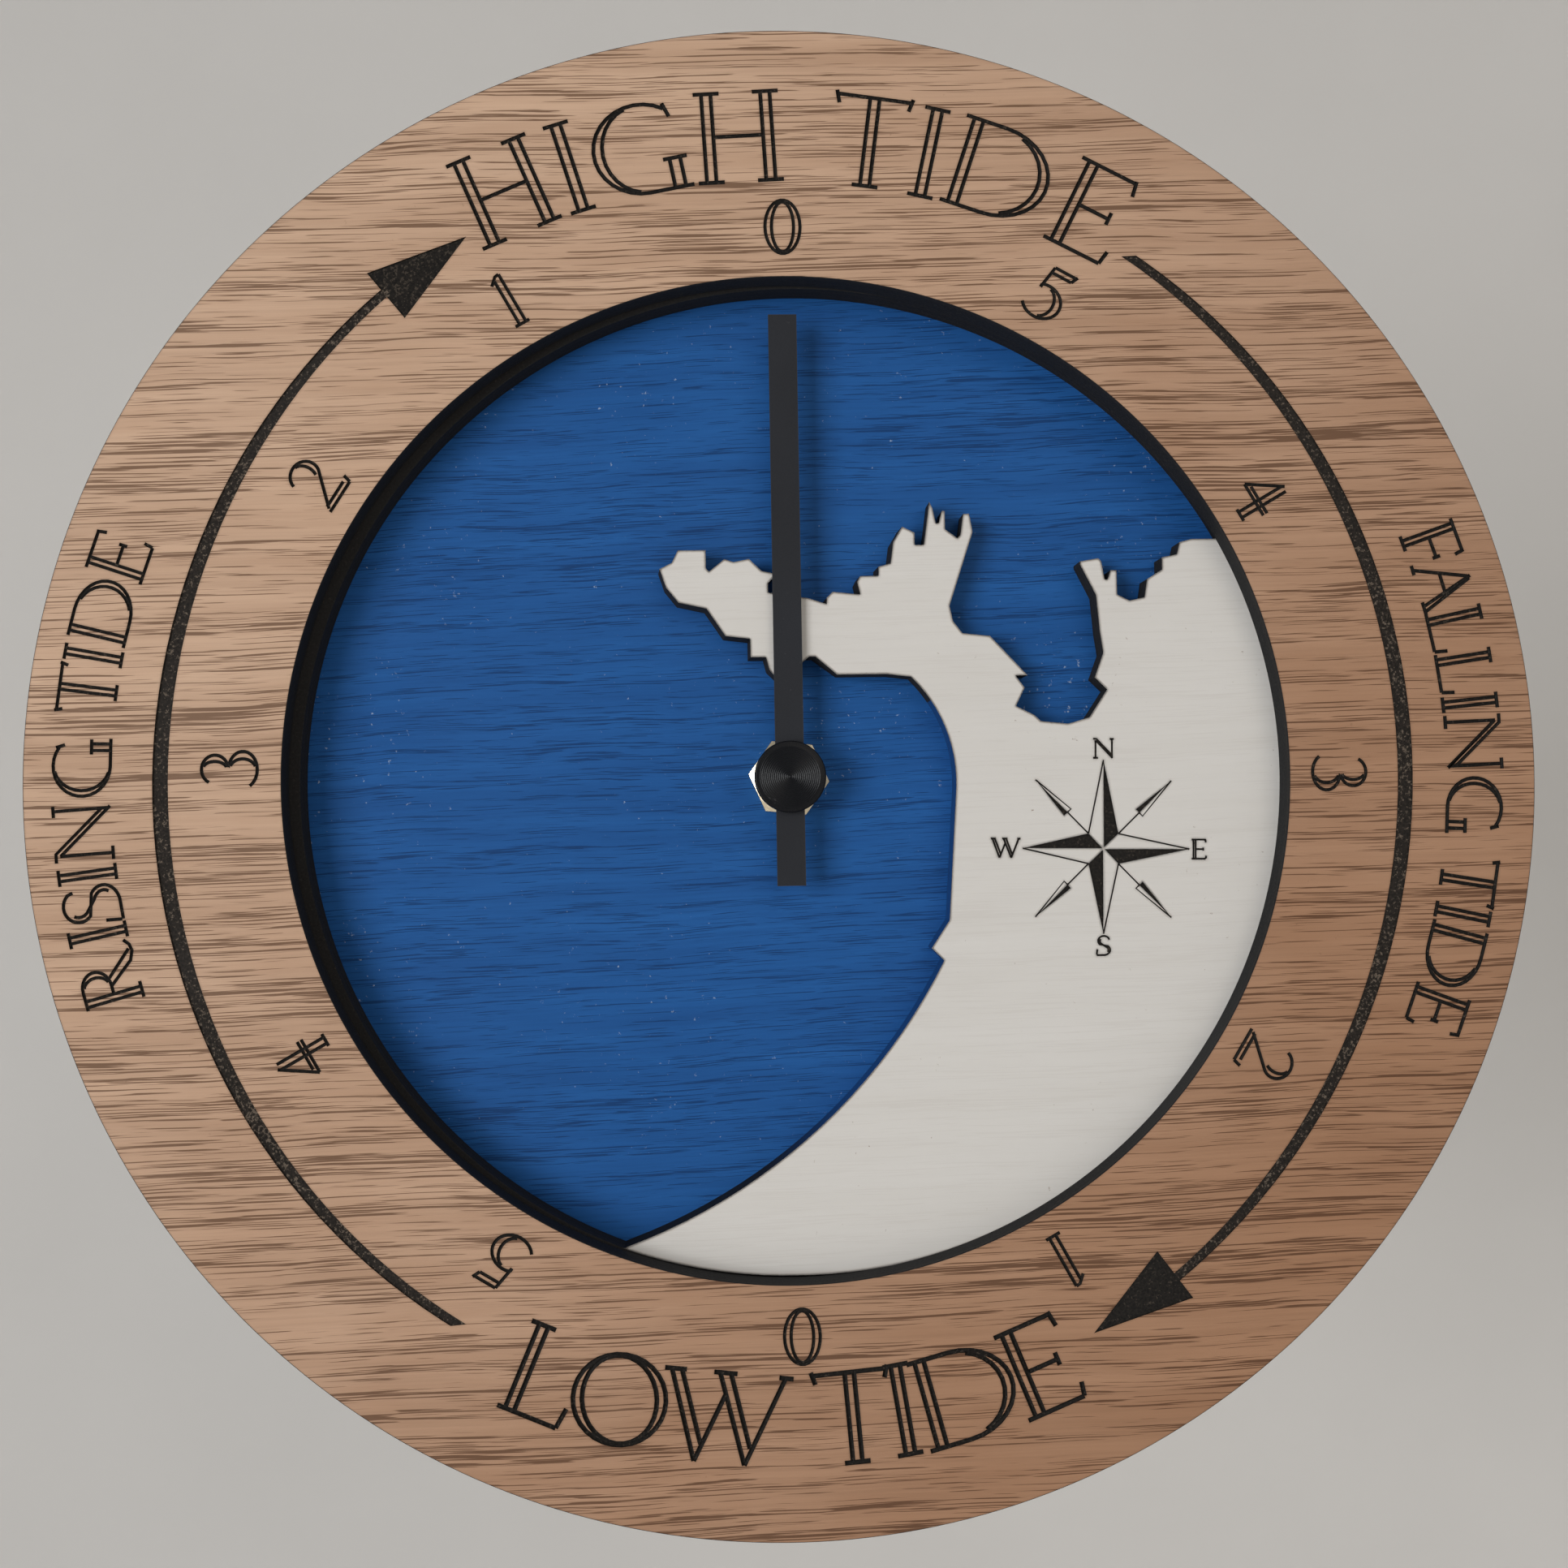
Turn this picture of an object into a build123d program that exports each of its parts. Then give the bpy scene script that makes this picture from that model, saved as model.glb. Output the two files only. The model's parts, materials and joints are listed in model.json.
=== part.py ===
from build123d import *
import math
import os

# A tide clock that hangs on a wall. Millimetres. X to the right, Z up, the dial faces -Y.
# Y = 0 is the wall plane, and the hand turns about the Y axis through the origin.

# Ply rings, dial and land
OPENING_DIAMETER = 160.0
RIM_WIDTH = 40.0
FRONT_RING_THICKNESS = 5.0
SPACER_THICKNESS = 5.0
DIAL_THICKNESS = 5.0
LAND_THICKNESS = 5.0
LAND_EDGE_GAP = 0.2
DIAL_HOLE_GAP = 0.2

# Fits
PRESS_GAP = 0.02
RUN_GAP = 0.05
COVER_GAP = 0.1

# Bush, nut and washer that clamp the movement to the dial
BUSH_DIAMETER = 8.0
BUSH_FLANGE_DIAMETER = 11.0
BUSH_FLANGE_THICKNESS = 1.0
THREAD_PAST_NUT = 0.8
NUT_ACROSS_FLATS = 11.5
NUT_THICKNESS = 2.6
NUT_CONE_WIDTH = 1.3
NUT_CONE_DEPTH = 0.6
NUT_TURN = -6.0
WASHER_DIAMETER = 18.0
WASHER_THICKNESS = 0.8

# Hand and hub cap
HAND_TIP_GAP = 5.0
HAND_TAIL = 17.5
HAND_WIDTH = 4.6
HAND_THICKNESS = 0.7
HAND_OVER_LAND = 0.8
COLLAR_DIAMETER = 7.2
COLLAR_LENGTH = 1.9
COLLAR_GAP = 0.5
CAP_DIAMETER = 11.5
CAP_THICKNESS = 1.8
CAP_GROOVES = 12
CAP_GROOVE_DEPTH = 0.12
CAP_RIM = 0.4
TUBE_DIAMETER = 5.0
TUBE_IN_CAP = 1.0

# Movement case, cover and hanger
CASE_WALL = 1.5
CASE_FRONT_WALL = 1.5
CASE_CORNER = 3.0
CASE_GEAR_GAP = 1.5
BAY_FLOOR = 0.8
DIVIDER_WALL = 1.2
COVER_THICKNESS = 1.5
COVER_RIB_WIDTH = 16.0
COVER_RIB_DEPTH = 1.2
CLIP_WIDTH = 7.0
CLIP_THICKNESS = 1.0
CLIP_LENGTH = 5.0
CLIP_BARB = 0.7
CLIP_BARB_HEIGHT = 1.6
CLIP_HEIGHT_ABOVE_AXIS = 8.0
CLIP_WINDOW_GAP = 0.3
HANGER_WIDTH = 14.0
HANGER_THICKNESS = 3.0
HANGER_HOLE_DIAMETER = 5.0
HANGER_HOLE_RISE = 5.0

# Battery and its contacts
BATTERY_DIAMETER = 14.2
BATTERY_LENGTH = 50.5
BATTERY_NUB_DIAMETER = 5.5
BATTERY_NUB_LENGTH = 1.0
BATTERY_EDGE = 0.5
BAY_SIDE_GAP = 0.3
BAY_FLOOR_GAP = 0.15
CONTACT_THICKNESS = 0.3
CONTACT_WIDTH = 6.0
CONTACT_RISE = 0.75
CONTACT_GAP = 0.2
CONTACT_PAD_DIAMETER = 5.0
CONTACT_TAB_LENGTH = 3.0
CONTACT_TAB_WIDTH = 3.0
CONTACT_RUN_HEIGHT = 1.5

# Gear train: tooth counts, modules and where each arbor stands from the one before
HOUR_TEETH = 40
MOTION_PINION_TEETH = 10
HOUR_MODULE = 0.3
CANNON_TEETH = 12
MOTION_TEETH = 36
CENTRE_TEETH = 80
THIRD_PINION_TEETH = 10
CENTRE_MODULE = 0.22
THIRD_TEETH = 75
SECONDS_PINION_TEETH = 10
THIRD_MODULE = 0.18
SECONDS_TEETH = 60
FIFTH_PINION_TEETH = 10
SECONDS_MODULE = 0.18
FIFTH_TEETH = 60
ROTOR_TEETH = 12
FIFTH_MODULE = 0.15
HALF_TURN = 180.0
MOTION_DIRECTION = 180.0
THIRD_DIRECTION = 37.0
SECONDS_DIRECTION = 115.0
FIFTH_DIRECTION = 180.0
ROTOR_DIRECTION = 180.0
MOTION_THICKNESS = 1.2
WHEEL_THICKNESS = 1.0
LAYER_GAP = 0.5
END_SHAKE = 0.4
BRIDGE_SHAKE = 0.7
BRIDGE_THICKNESS = 1.2
BRIDGE_POST_RIM = 2.6
BRIDGE_ARBOR_RIM = 2.0
POST_DIAMETER = 3.0
POST_PIN_DIAMETER = 1.6
BRIDGE_POSTS = ((12.5, -4.0), (-14.5, 6.5), (13.2, 20.5))
ARBOR_DIAMETER = 0.8
ARBOR_END_GAP = 0.2
BOSS_DIAMETER = 2.0
BOSS_GAP = 0.6
STUD_DIAMETER = 1.2
CENTRE_ARBOR_DIAMETER = 2.0
CENTRE_ARBOR_FRONT = 20.0
CENTRE_COLLAR_DIAMETER = 4.4
CENTRE_COLLAR_THICKNESS = 0.3
CLUTCH_GAP = 0.03
CLUTCH_DIAMETER = 4.2
WEB_HOLES = 5
WEB_HOLE_SHARE = 0.36

# Tooth form: heights in modules, widths as shares of half a pitch
ADDENDUM = 0.9
DEDENDUM = 1.25
ROOT_SHARE = 0.56
PITCH_SHARE = 0.42
TIP_SHARE = 0.16

# Setting knob
KNOB_DIAMETER = 9.6
KNOB_THICKNESS = 2.2
KNOB_INSET = 0.2
KNOB_GAP = 0.2
KNOB_SHAFT_DIAMETER = 2.4
KNOB_BOSS_DIAMETER = 4.4
KNOB_RIBS = 24
KNOB_RIB_DIAMETER = 0.7
CUP_GAP = 0.4
CUP_WALL = 1.0
CUP_FLOOR = 1.0
CUP_BRIDGE_GAP = 0.2

# Stepping motor
MAGNET_DIAMETER = 4.0
MAGNET_LENGTH = 1.6
STATOR_THICKNESS = 1.2
STATOR_HOLE_DIAMETER = 5.0
STATOR_LOBE_DIAMETER = 7.8
STATOR_BAR_WIDTH = 5.0
STATOR_LEG_WIDTH = 3.0
STATOR_WALL_GAP = 1.0
CORE_WIDTH = 3.0
CORE_THICKNESS = 1.2
COIL_RISE = 9.0
COIL_END_GAP = 0.4
BOBBIN_BARREL_DIAMETER = 4.0
BOBBIN_FLANGE_DIAMETER = 6.4
BOBBIN_FLANGE_THICKNESS = 0.6
BOBBIN_BORE_GAP = 0.1
WINDING_DIAMETER = 5.8
COIL_CASE_GAP = 1.4

# Circuit board
BOARD_THICKNESS = 1.0
BOARD_WALL_GAP = 0.7
BOARD_TRAIN_GAP = 1.0
BOARD_PAD_INSET = 5.0
BOARD_END_GAP = 2.5
BOARD_STAND = 2.0
CHIP_DIAMETER = 5.0
CHIP_HEIGHT = 1.0
CRYSTAL_DIAMETER = 2.0
CRYSTAL_LENGTH = 6.0

# Coast of the land piece, in X and Z from the hand axis. It runs past the opening at both ends.
NORTH_COAST = (
    (-20.5, 34), (-18.5, 35), (-17.5, 37), (-13, 37), (-13, 34), (-12.5, 33.5), (-10, 35.5), (-8.5, 35),
    (-6, 35.5), (-4, 33.5), (-1.5, 33), (-3, 31.5), (-3, 30), (3.5, 29), (6.5, 28), (6.5, 29), (7.5, 30),
    (12, 29.5), (11.5, 31.5), (12, 32.5), (15, 32.5), (15, 34), (17, 34.5), (17.5, 38), (19, 40.5),
    (21, 39.5), (21, 37.5), (22.5, 37.5), (23, 41), (23.5, 44.5), (24, 43.5), (24.5, 41), (25, 41),
    (25.5, 43), (26, 43), (26, 40), (28, 38.5), (28.5, 39), (29, 42.5), (30, 42.5), (30.5, 39.5),
    (26.5, 27.5), (27, 25), (28.5, 23), (33, 22.5), (39, 16), (37, 16), (38.5, 14), (37, 11), (40, 9.5),
    (41, 8.5), (45.5, 8), (49, 9), (52, 13.5), (50, 15.5), (51.5, 19.5), (51, 23), (50.5, 29), (48, 34),
    (48, 34.5), (51, 35), (51.5, 34.5), (52, 31.5), (52.5, 31.5), (53, 33), (54, 33), (54, 29), (56, 28),
    (58.5, 28.5), (59, 31.5), (61.5, 33), (61.5, 35), (64, 35.5), (64.5, 37.5), (66.5, 38), (69.5, 38),
    (200, 38),
)
BAY_END = (-55, -86.5)
BAY_FOOT = (-27, -74.5)
BAY_MIDDLE = (6.5, -54)
BAY_HEAD = (24.5, -30)
WEST_COAST = ((24.5, -30), (22.5, -28), (25.5, -23.5), (27, -2))
COVE_MIDDLE = (25.5, 7.5)
SOUTH_COAST = (
    (20, 16), (16, 16.5), (8, 16.5), (4.5, 19.5), (3.5, 19.5), (-1.5, 15.5), (-3, 17.5), (-3.5, 19.5),
    (-6, 19.5), (-6, 22.5), (-10, 23), (-13, 27.5), (-17.5, 28.5), (-19.5, 31), (-20.5, 34),
)
SEA_CORNERS = ((200, 38), (200, -200), (-55, -200), (-55, -86.5))


def pair_distance(module, wheel, pinion):
    """Distance between the arbors of a wheel and a pinion."""
    return module * (wheel + pinion) / 2


def stepped(start, distance, direction):
    """A place at a distance and direction from another place."""
    angle = math.radians(direction)
    return (start[0] + distance * math.cos(angle), start[1] + distance * math.sin(angle))


def tip_radius(teeth, module):
    """Radius over the tips of a wheel's teeth."""
    return module * (teeth / 2 + ADDENDUM)


# Ring size and the hand's reach
ring_diameter = OPENING_DIAMETER + 2 * RIM_WIDTH
hand_length = OPENING_DIAMETER / 2 - HAND_TIP_GAP

# Where the arbors stand
axis = (0.0, 0.0)
motion_distance = pair_distance(HOUR_MODULE, HOUR_TEETH, MOTION_PINION_TEETH)
motion_module = 2 * motion_distance / (CANNON_TEETH + MOTION_TEETH)
motion_place = stepped(axis, motion_distance, MOTION_DIRECTION)
knob_place = stepped(motion_place, motion_distance, MOTION_DIRECTION)
third_place = stepped(axis, pair_distance(CENTRE_MODULE, CENTRE_TEETH, THIRD_PINION_TEETH), THIRD_DIRECTION)
seconds_place = stepped(
    third_place, pair_distance(THIRD_MODULE, THIRD_TEETH, SECONDS_PINION_TEETH), SECONDS_DIRECTION)
fifth_place = stepped(
    seconds_place, pair_distance(SECONDS_MODULE, SECONDS_TEETH, FIFTH_PINION_TEETH), FIFTH_DIRECTION)
rotor_place = stepped(fifth_place, pair_distance(FIFTH_MODULE, FIFTH_TEETH, ROTOR_TEETH), ROTOR_DIRECTION)
coil_height = rotor_place[1] + COIL_RISE

# Outside and inside of the case
knob_room = CUP_BRIDGE_GAP + CUP_FLOOR + KNOB_GAP + KNOB_THICKNESS + KNOB_INSET
train_room = 2 * MOTION_THICKNESS + 4 * WHEEL_THICKNESS + 5 * LAYER_GAP
case_depth = CASE_FRONT_WALL + END_SHAKE + train_room + BRIDGE_SHAKE + BRIDGE_THICKNESS + knob_room
contact_room = CONTACT_THICKNESS + CONTACT_RISE + CONTACT_GAP
inner_half = BATTERY_LENGTH / 2 + contact_room
outer_half = inner_half + CASE_WALL
gear_top = coil_height + BOBBIN_FLANGE_DIAMETER / 2 + COIL_CASE_GAP
cup_inner = KNOB_DIAMETER + 2 * CUP_GAP
cup_outer = cup_inner + 2 * CUP_WALL
lowest_inside = min(-tip_radius(CENTRE_TEETH, CENTRE_MODULE), knob_place[1] - cup_outer / 2)
gear_bottom = lowest_inside - CASE_GEAR_GAP
bay_top = gear_bottom - DIVIDER_WALL
bay_bottom = bay_top - BATTERY_DIAMETER - 2 * BAY_SIDE_GAP
case_top = gear_top + CASE_WALL
case_bottom = bay_bottom - CASE_WALL
case_front = -case_depth
gear_floor = case_front + CASE_FRONT_WALL
bay_floor = case_front + BAY_FLOOR
cover_front = -COVER_THICKNESS

# Gear layers, front and back, from the dial side to the wall side
hour_layer = (gear_floor + END_SHAKE, gear_floor + END_SHAKE + MOTION_THICKNESS)
motion_layer = (hour_layer[1] + LAYER_GAP, hour_layer[1] + LAYER_GAP + MOTION_THICKNESS)
centre_layer = (motion_layer[1] + LAYER_GAP, motion_layer[1] + LAYER_GAP + WHEEL_THICKNESS)
third_layer = (centre_layer[1] + LAYER_GAP, centre_layer[1] + LAYER_GAP + WHEEL_THICKNESS)
seconds_layer = (third_layer[1] + LAYER_GAP, third_layer[1] + LAYER_GAP + WHEEL_THICKNESS)
fifth_layer = (seconds_layer[1] + LAYER_GAP, seconds_layer[1] + LAYER_GAP + WHEEL_THICKNESS)
bridge_front = fifth_layer[1] + BRIDGE_SHAKE
bridge_back = bridge_front + BRIDGE_THICKNESS
arbor_front = gear_floor + ARBOR_END_GAP
arbor_back = bridge_back - ARBOR_END_GAP

# Ply stack, hand and hub, from the case forward
dial_back = case_front - WASHER_THICKNESS
dial_front = dial_back - DIAL_THICKNESS
spacer_front = dial_front - SPACER_THICKNESS
ring_front = spacer_front - FRONT_RING_THICKNESS
land_front = dial_front - LAND_THICKNESS
nut_front = dial_front - NUT_THICKNESS
bush_front = nut_front - THREAD_PAST_NUT
collar_back = bush_front - COLLAR_GAP
hand_back = min(land_front - HAND_OVER_LAND, collar_back - COLLAR_LENGTH)
hand_front = hand_back - HAND_THICKNESS
tube_front = hand_front - TUBE_IN_CAP
cap_front = hand_front - CAP_THICKNESS

# Motor and board levels
stator_front = centre_layer[0] + PRESS_GAP * 10
stator_back = stator_front + STATOR_THICKNESS
core_back = stator_back + CORE_THICKNESS
coil_middle = (stator_back + core_back) / 2
magnet_front = (stator_front + stator_back - MAGNET_LENGTH) / 2
magnet_back = magnet_front + MAGNET_LENGTH
stator_left = -inner_half + STATOR_WALL_GAP
stator_right_leg = rotor_place[0] + STATOR_LEG_WIDTH / 2
board_front = gear_floor + BOARD_STAND
board_back = board_front + BOARD_THICKNESS
board_right = inner_half - BOARD_WALL_GAP
board_left = third_place[0] + tip_radius(THIRD_TEETH, THIRD_MODULE) + BOARD_TRAIN_GAP
board_bottom = gear_bottom + BOARD_END_GAP
board_top = gear_top - BOARD_END_GAP
battery_place = (bay_floor + BAY_FLOOR_GAP + BATTERY_DIAMETER / 2, bay_top - BAY_SIDE_GAP - BATTERY_DIAMETER / 2)


def slab(outline, front, back):
    """A flat outline in X and Z, given its thickness between two Y levels."""
    return extrude(Plane.XZ.offset(-back) * outline, amount=back - front)


def disc(place, diameter, front, back):
    """A round bar along Y."""
    return slab(Pos(*place) * Circle(diameter / 2), front, back)


def hoop(place, outer, inner, front, back):
    """A round tube along Y."""
    return slab(Pos(*place) * (Circle(outer / 2) - Circle(inner / 2)), front, back)


def block(x_span, y_span, z_span):
    """A box between two corners."""
    size = [span[1] - span[0] for span in (x_span, y_span, z_span)]
    middle = [(span[0] + span[1]) / 2 for span in (x_span, y_span, z_span)]
    return Pos(*middle) * Box(*size)


def bar_x(diameter, x_span, place):
    """A round bar along X, at a Y and Z place."""
    return Plane.YZ.offset(x_span[0]) * Pos(*place) * extrude(Circle(diameter / 2), x_span[1] - x_span[0])


def toothed(place, teeth, module, phase):
    """A toothed outline with one tooth in the phase direction, in degrees."""
    pitch = module * teeth / 2
    root = pitch - DEDENDUM * module
    tip = tip_radius(teeth, module)
    flank = ((root, -ROOT_SHARE), (pitch, -PITCH_SHARE), (tip, -TIP_SHARE))
    profile = flank + tuple((radius, -share) for radius, share in reversed(flank))
    corners = []
    for tooth in range(teeth):
        for radius, share in profile:
            angle = math.radians(phase) + (2 * tooth + share) * math.pi / teeth
            corners.append((radius * math.cos(angle), radius * math.sin(angle)))
    return Pos(*place) * Polygon(*corners, align=None)


def facing_gap(teeth, direction):
    """Phase that turns a gap between two teeth back along a direction."""
    return direction + HALF_TURN + HALF_TURN / teeth


def web_cut(place, rim_radius, hub_radius, layer):
    """Round holes that lighten a wheel between its hub and its rim."""
    middle = (rim_radius + hub_radius) / 2
    hole = WEB_HOLE_SHARE * (rim_radius - hub_radius)
    holes = [Pos(*place) * spot * Circle(hole) for spot in PolarLocations(middle, WEB_HOLES)]
    return slab(Sketch() + holes, layer[0], layer[1])


def wheel(place, teeth, module, phase, layer, hub_diameter):
    """A toothed wheel with round holes in its web."""
    solid = slab(toothed(place, teeth, module, phase), *layer)
    rim = module * (teeth / 2 - DEDENDUM) - WHEEL_THICKNESS / 2
    return solid - web_cut(place, rim, hub_diameter / 2 + WHEEL_THICKNESS / 2, layer)


def bored(solid, place, diameter, front, back):
    """A solid with a round hole along Y."""
    return solid - disc(place, diameter, front, back)


# Ply pieces

def front_ring():
    return hoop(axis, ring_diameter, OPENING_DIAMETER, ring_front, spacer_front)


def spacer_ring():
    return hoop(axis, ring_diameter, OPENING_DIAMETER, spacer_front, dial_front)


def dial_board():
    return hoop(axis, ring_diameter, BUSH_DIAMETER + 2 * DIAL_HOLE_GAP, dial_front, dial_back)


def land_overlay():
    coast = [
        Polyline(*NORTH_COAST),
        Polyline(*SEA_CORNERS),
        Line(BAY_END, BAY_FOOT),
        ThreePointArc(BAY_FOOT, BAY_MIDDLE, BAY_HEAD),
        Polyline(*WEST_COAST),
        ThreePointArc(WEST_COAST[-1], COVE_MIDDLE, SOUTH_COAST[0]),
        Polyline(*SOUTH_COAST),
    ]
    edges = [edge for line in coast for edge in line.edges()]
    land = make_face(edges) & Circle(OPENING_DIAMETER / 2 - LAND_EDGE_GAP)
    return slab(land, land_front, dial_front)


# Fixing

def fixing_nut():
    corner = NUT_ACROSS_FLATS / math.sqrt(3)
    hexagon = slab(RegularPolygon(corner, 6, rotation=NUT_TURN), nut_front, dial_front)
    bar = disc(axis, 2 * corner, nut_front, dial_front)
    front = bar.faces().sort_by(Axis.Y)[0]
    envelope = chamfer(front.edges(), NUT_CONE_WIDTH, NUT_CONE_DEPTH, reference=front)
    return bored(hexagon & envelope, axis, BUSH_DIAMETER + 2 * RUN_GAP, nut_front, dial_front)


def rubber_washer():
    return hoop(axis, WASHER_DIAMETER, BUSH_DIAMETER + 2 * DIAL_HOLE_GAP, dial_back, case_front)


def threaded_bush():
    flange = disc(axis, BUSH_FLANGE_DIAMETER, gear_floor - BUSH_FLANGE_THICKNESS, gear_floor)
    shank = disc(axis, BUSH_DIAMETER, bush_front, gear_floor)
    return bored(flange + shank, axis, TUBE_DIAMETER + 2 * RUN_GAP, bush_front, gear_floor)


# Hand, cap and hour wheel

def tide_hand():
    blade = Pos(0, (hand_length - HAND_TAIL) / 2) * Rectangle(HAND_WIDTH, hand_length + HAND_TAIL)
    plate = slab(blade + Circle(COLLAR_DIAMETER / 2), hand_front, hand_back)
    collar = disc(axis, COLLAR_DIAMETER, hand_back, collar_back)
    return bored(plate + collar, axis, TUBE_DIAMETER + 2 * PRESS_GAP, hand_front, collar_back)


def hand_cap():
    cap = disc(axis, CAP_DIAMETER, cap_front, hand_front)
    socket = disc(axis, TUBE_DIAMETER + 2 * PRESS_GAP, tube_front - PRESS_GAP, hand_front)
    pitch = (CAP_DIAMETER / 2 - CAP_RIM) / CAP_GROOVES
    for groove in range(CAP_GROOVES):
        outer = 2 * pitch * (groove + 1)
        inner = outer - pitch
        cap -= hoop(axis, outer, inner, cap_front, cap_front + CAP_GROOVE_DEPTH)
    return cap - socket


def hour_wheel():
    plate = wheel(axis, HOUR_TEETH, HOUR_MODULE, MOTION_DIRECTION, hour_layer, TUBE_DIAMETER)
    tube = disc(axis, TUBE_DIAMETER, tube_front, hour_layer[0])
    bore = disc(axis, CENTRE_ARBOR_DIAMETER + 2 * RUN_GAP, -CENTRE_ARBOR_FRONT - END_SHAKE, hour_layer[1])
    return plate + tube - bore


# Motion work and setting

def motion_wheel():
    plate = wheel(motion_place, MOTION_TEETH, motion_module, MOTION_DIRECTION, motion_layer, STUD_DIAMETER)
    gap_phase = facing_gap(MOTION_PINION_TEETH, MOTION_DIRECTION)
    pinion = slab(
        toothed(motion_place, MOTION_PINION_TEETH, HOUR_MODULE, gap_phase), hour_layer[0], motion_layer[0])
    return bored(plate + pinion, motion_place, STUD_DIAMETER + 2 * RUN_GAP, hour_layer[0], motion_layer[1])


def cannon_arbor():
    arbor = disc(axis, CENTRE_ARBOR_DIAMETER, -CENTRE_ARBOR_FRONT, arbor_back)
    gap_phase = facing_gap(CANNON_TEETH, MOTION_DIRECTION + HALF_TURN)
    pinion = slab(toothed(axis, CANNON_TEETH, motion_module, gap_phase), *motion_layer)
    collar_front = centre_layer[1] + CLUTCH_GAP
    collar = disc(axis, CENTRE_COLLAR_DIAMETER, collar_front, collar_front + CENTRE_COLLAR_THICKNESS)
    return arbor + pinion + collar


def clutch_spring():
    bore = CENTRE_ARBOR_DIAMETER + 2 * RUN_GAP
    return hoop(axis, CLUTCH_DIAMETER, bore, motion_layer[1] + CLUTCH_GAP, centre_layer[0] - CLUTCH_GAP)


def setting_knob():
    shaft = disc(knob_place, KNOB_SHAFT_DIAMETER, arbor_front, -KNOB_INSET - KNOB_THICKNESS)
    gap_phase = facing_gap(CANNON_TEETH, MOTION_DIRECTION)
    pinion = slab(toothed(knob_place, CANNON_TEETH, motion_module, gap_phase), *motion_layer)
    head = Circle(KNOB_DIAMETER / 2)
    head -= PolarLocations(KNOB_DIAMETER / 2, KNOB_RIBS) * Circle(KNOB_RIB_DIAMETER / 2)
    return shaft + pinion + slab(Pos(*knob_place) * head, -KNOB_INSET - KNOB_THICKNESS, -KNOB_INSET)


# Going train

def centre_wheel():
    plate = wheel(axis, CENTRE_TEETH, CENTRE_MODULE, THIRD_DIRECTION, centre_layer, CENTRE_COLLAR_DIAMETER)
    return bored(plate, axis, CENTRE_ARBOR_DIAMETER + 2 * RUN_GAP, *centre_layer)


def train_wheel(place, wheel_size, wheel_layer, wheel_direction, pinion_size, pinion_layer, pinion_direction):
    """An arbor with a wheel that drives onwards and a pinion that meshes with the wheel before it."""
    teeth, module = wheel_size
    leaves, leaf_module = pinion_size
    arbor = disc(place, ARBOR_DIAMETER, arbor_front, arbor_back)
    plate = wheel(place, teeth, module, wheel_direction, wheel_layer, BOSS_DIAMETER)
    phase = facing_gap(leaves, pinion_direction)
    pinion = slab(toothed(place, leaves, leaf_module, phase), pinion_layer[0], wheel_layer[0])
    return arbor + plate + pinion


def third_wheel():
    return train_wheel(third_place, (THIRD_TEETH, THIRD_MODULE), third_layer, SECONDS_DIRECTION,
                       (THIRD_PINION_TEETH, CENTRE_MODULE), centre_layer, THIRD_DIRECTION)


def seconds_wheel():
    return train_wheel(seconds_place, (SECONDS_TEETH, SECONDS_MODULE), seconds_layer, FIFTH_DIRECTION,
                       (SECONDS_PINION_TEETH, THIRD_MODULE), third_layer, SECONDS_DIRECTION)


def fifth_wheel():
    return train_wheel(fifth_place, (FIFTH_TEETH, FIFTH_MODULE), fifth_layer, ROTOR_DIRECTION,
                       (FIFTH_PINION_TEETH, SECONDS_MODULE), seconds_layer, FIFTH_DIRECTION)


def rotor():
    arbor = disc(rotor_place, ARBOR_DIAMETER, arbor_front, arbor_back)
    phase = facing_gap(ROTOR_TEETH, ROTOR_DIRECTION)
    pinion = slab(toothed(rotor_place, ROTOR_TEETH, FIFTH_MODULE, phase), *fifth_layer)
    collar = disc(rotor_place, BOSS_DIAMETER, magnet_back, fifth_layer[0])
    return arbor + pinion + collar


def rotor_magnet():
    return hoop(rotor_place, MAGNET_DIAMETER, ARBOR_DIAMETER + 2 * PRESS_GAP, magnet_front, magnet_back)


# Motor

def stator():
    leg_top = coil_height + CORE_WIDTH / 2
    bar_low = rotor_place[1] - STATOR_BAR_WIDTH / 2
    outline = Pos(*rotor_place) * Circle(STATOR_LOBE_DIAMETER / 2)
    spans = (
        (stator_left, rotor_place[0], bar_low, bar_low + STATOR_BAR_WIDTH),
        (stator_left, stator_left + STATOR_LEG_WIDTH, bar_low, leg_top),
        (stator_right_leg - STATOR_LEG_WIDTH, stator_right_leg, bar_low, leg_top),
    )
    for left, right, low, high in spans:
        outline += Pos((left + right) / 2, (low + high) / 2) * Rectangle(right - left, high - low)
    outline -= Pos(*rotor_place) * Circle(STATOR_HOLE_DIAMETER / 2)
    return slab(outline, stator_front, stator_back)


def coil_core():
    height = (coil_height - CORE_WIDTH / 2, coil_height + CORE_WIDTH / 2)
    return block((stator_left, stator_right_leg), (stator_back, core_back), height)


coil_span = (stator_left + STATOR_LEG_WIDTH + COIL_END_GAP, stator_right_leg - STATOR_LEG_WIDTH - COIL_END_GAP)
coil_place = (coil_middle, coil_height)


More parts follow.
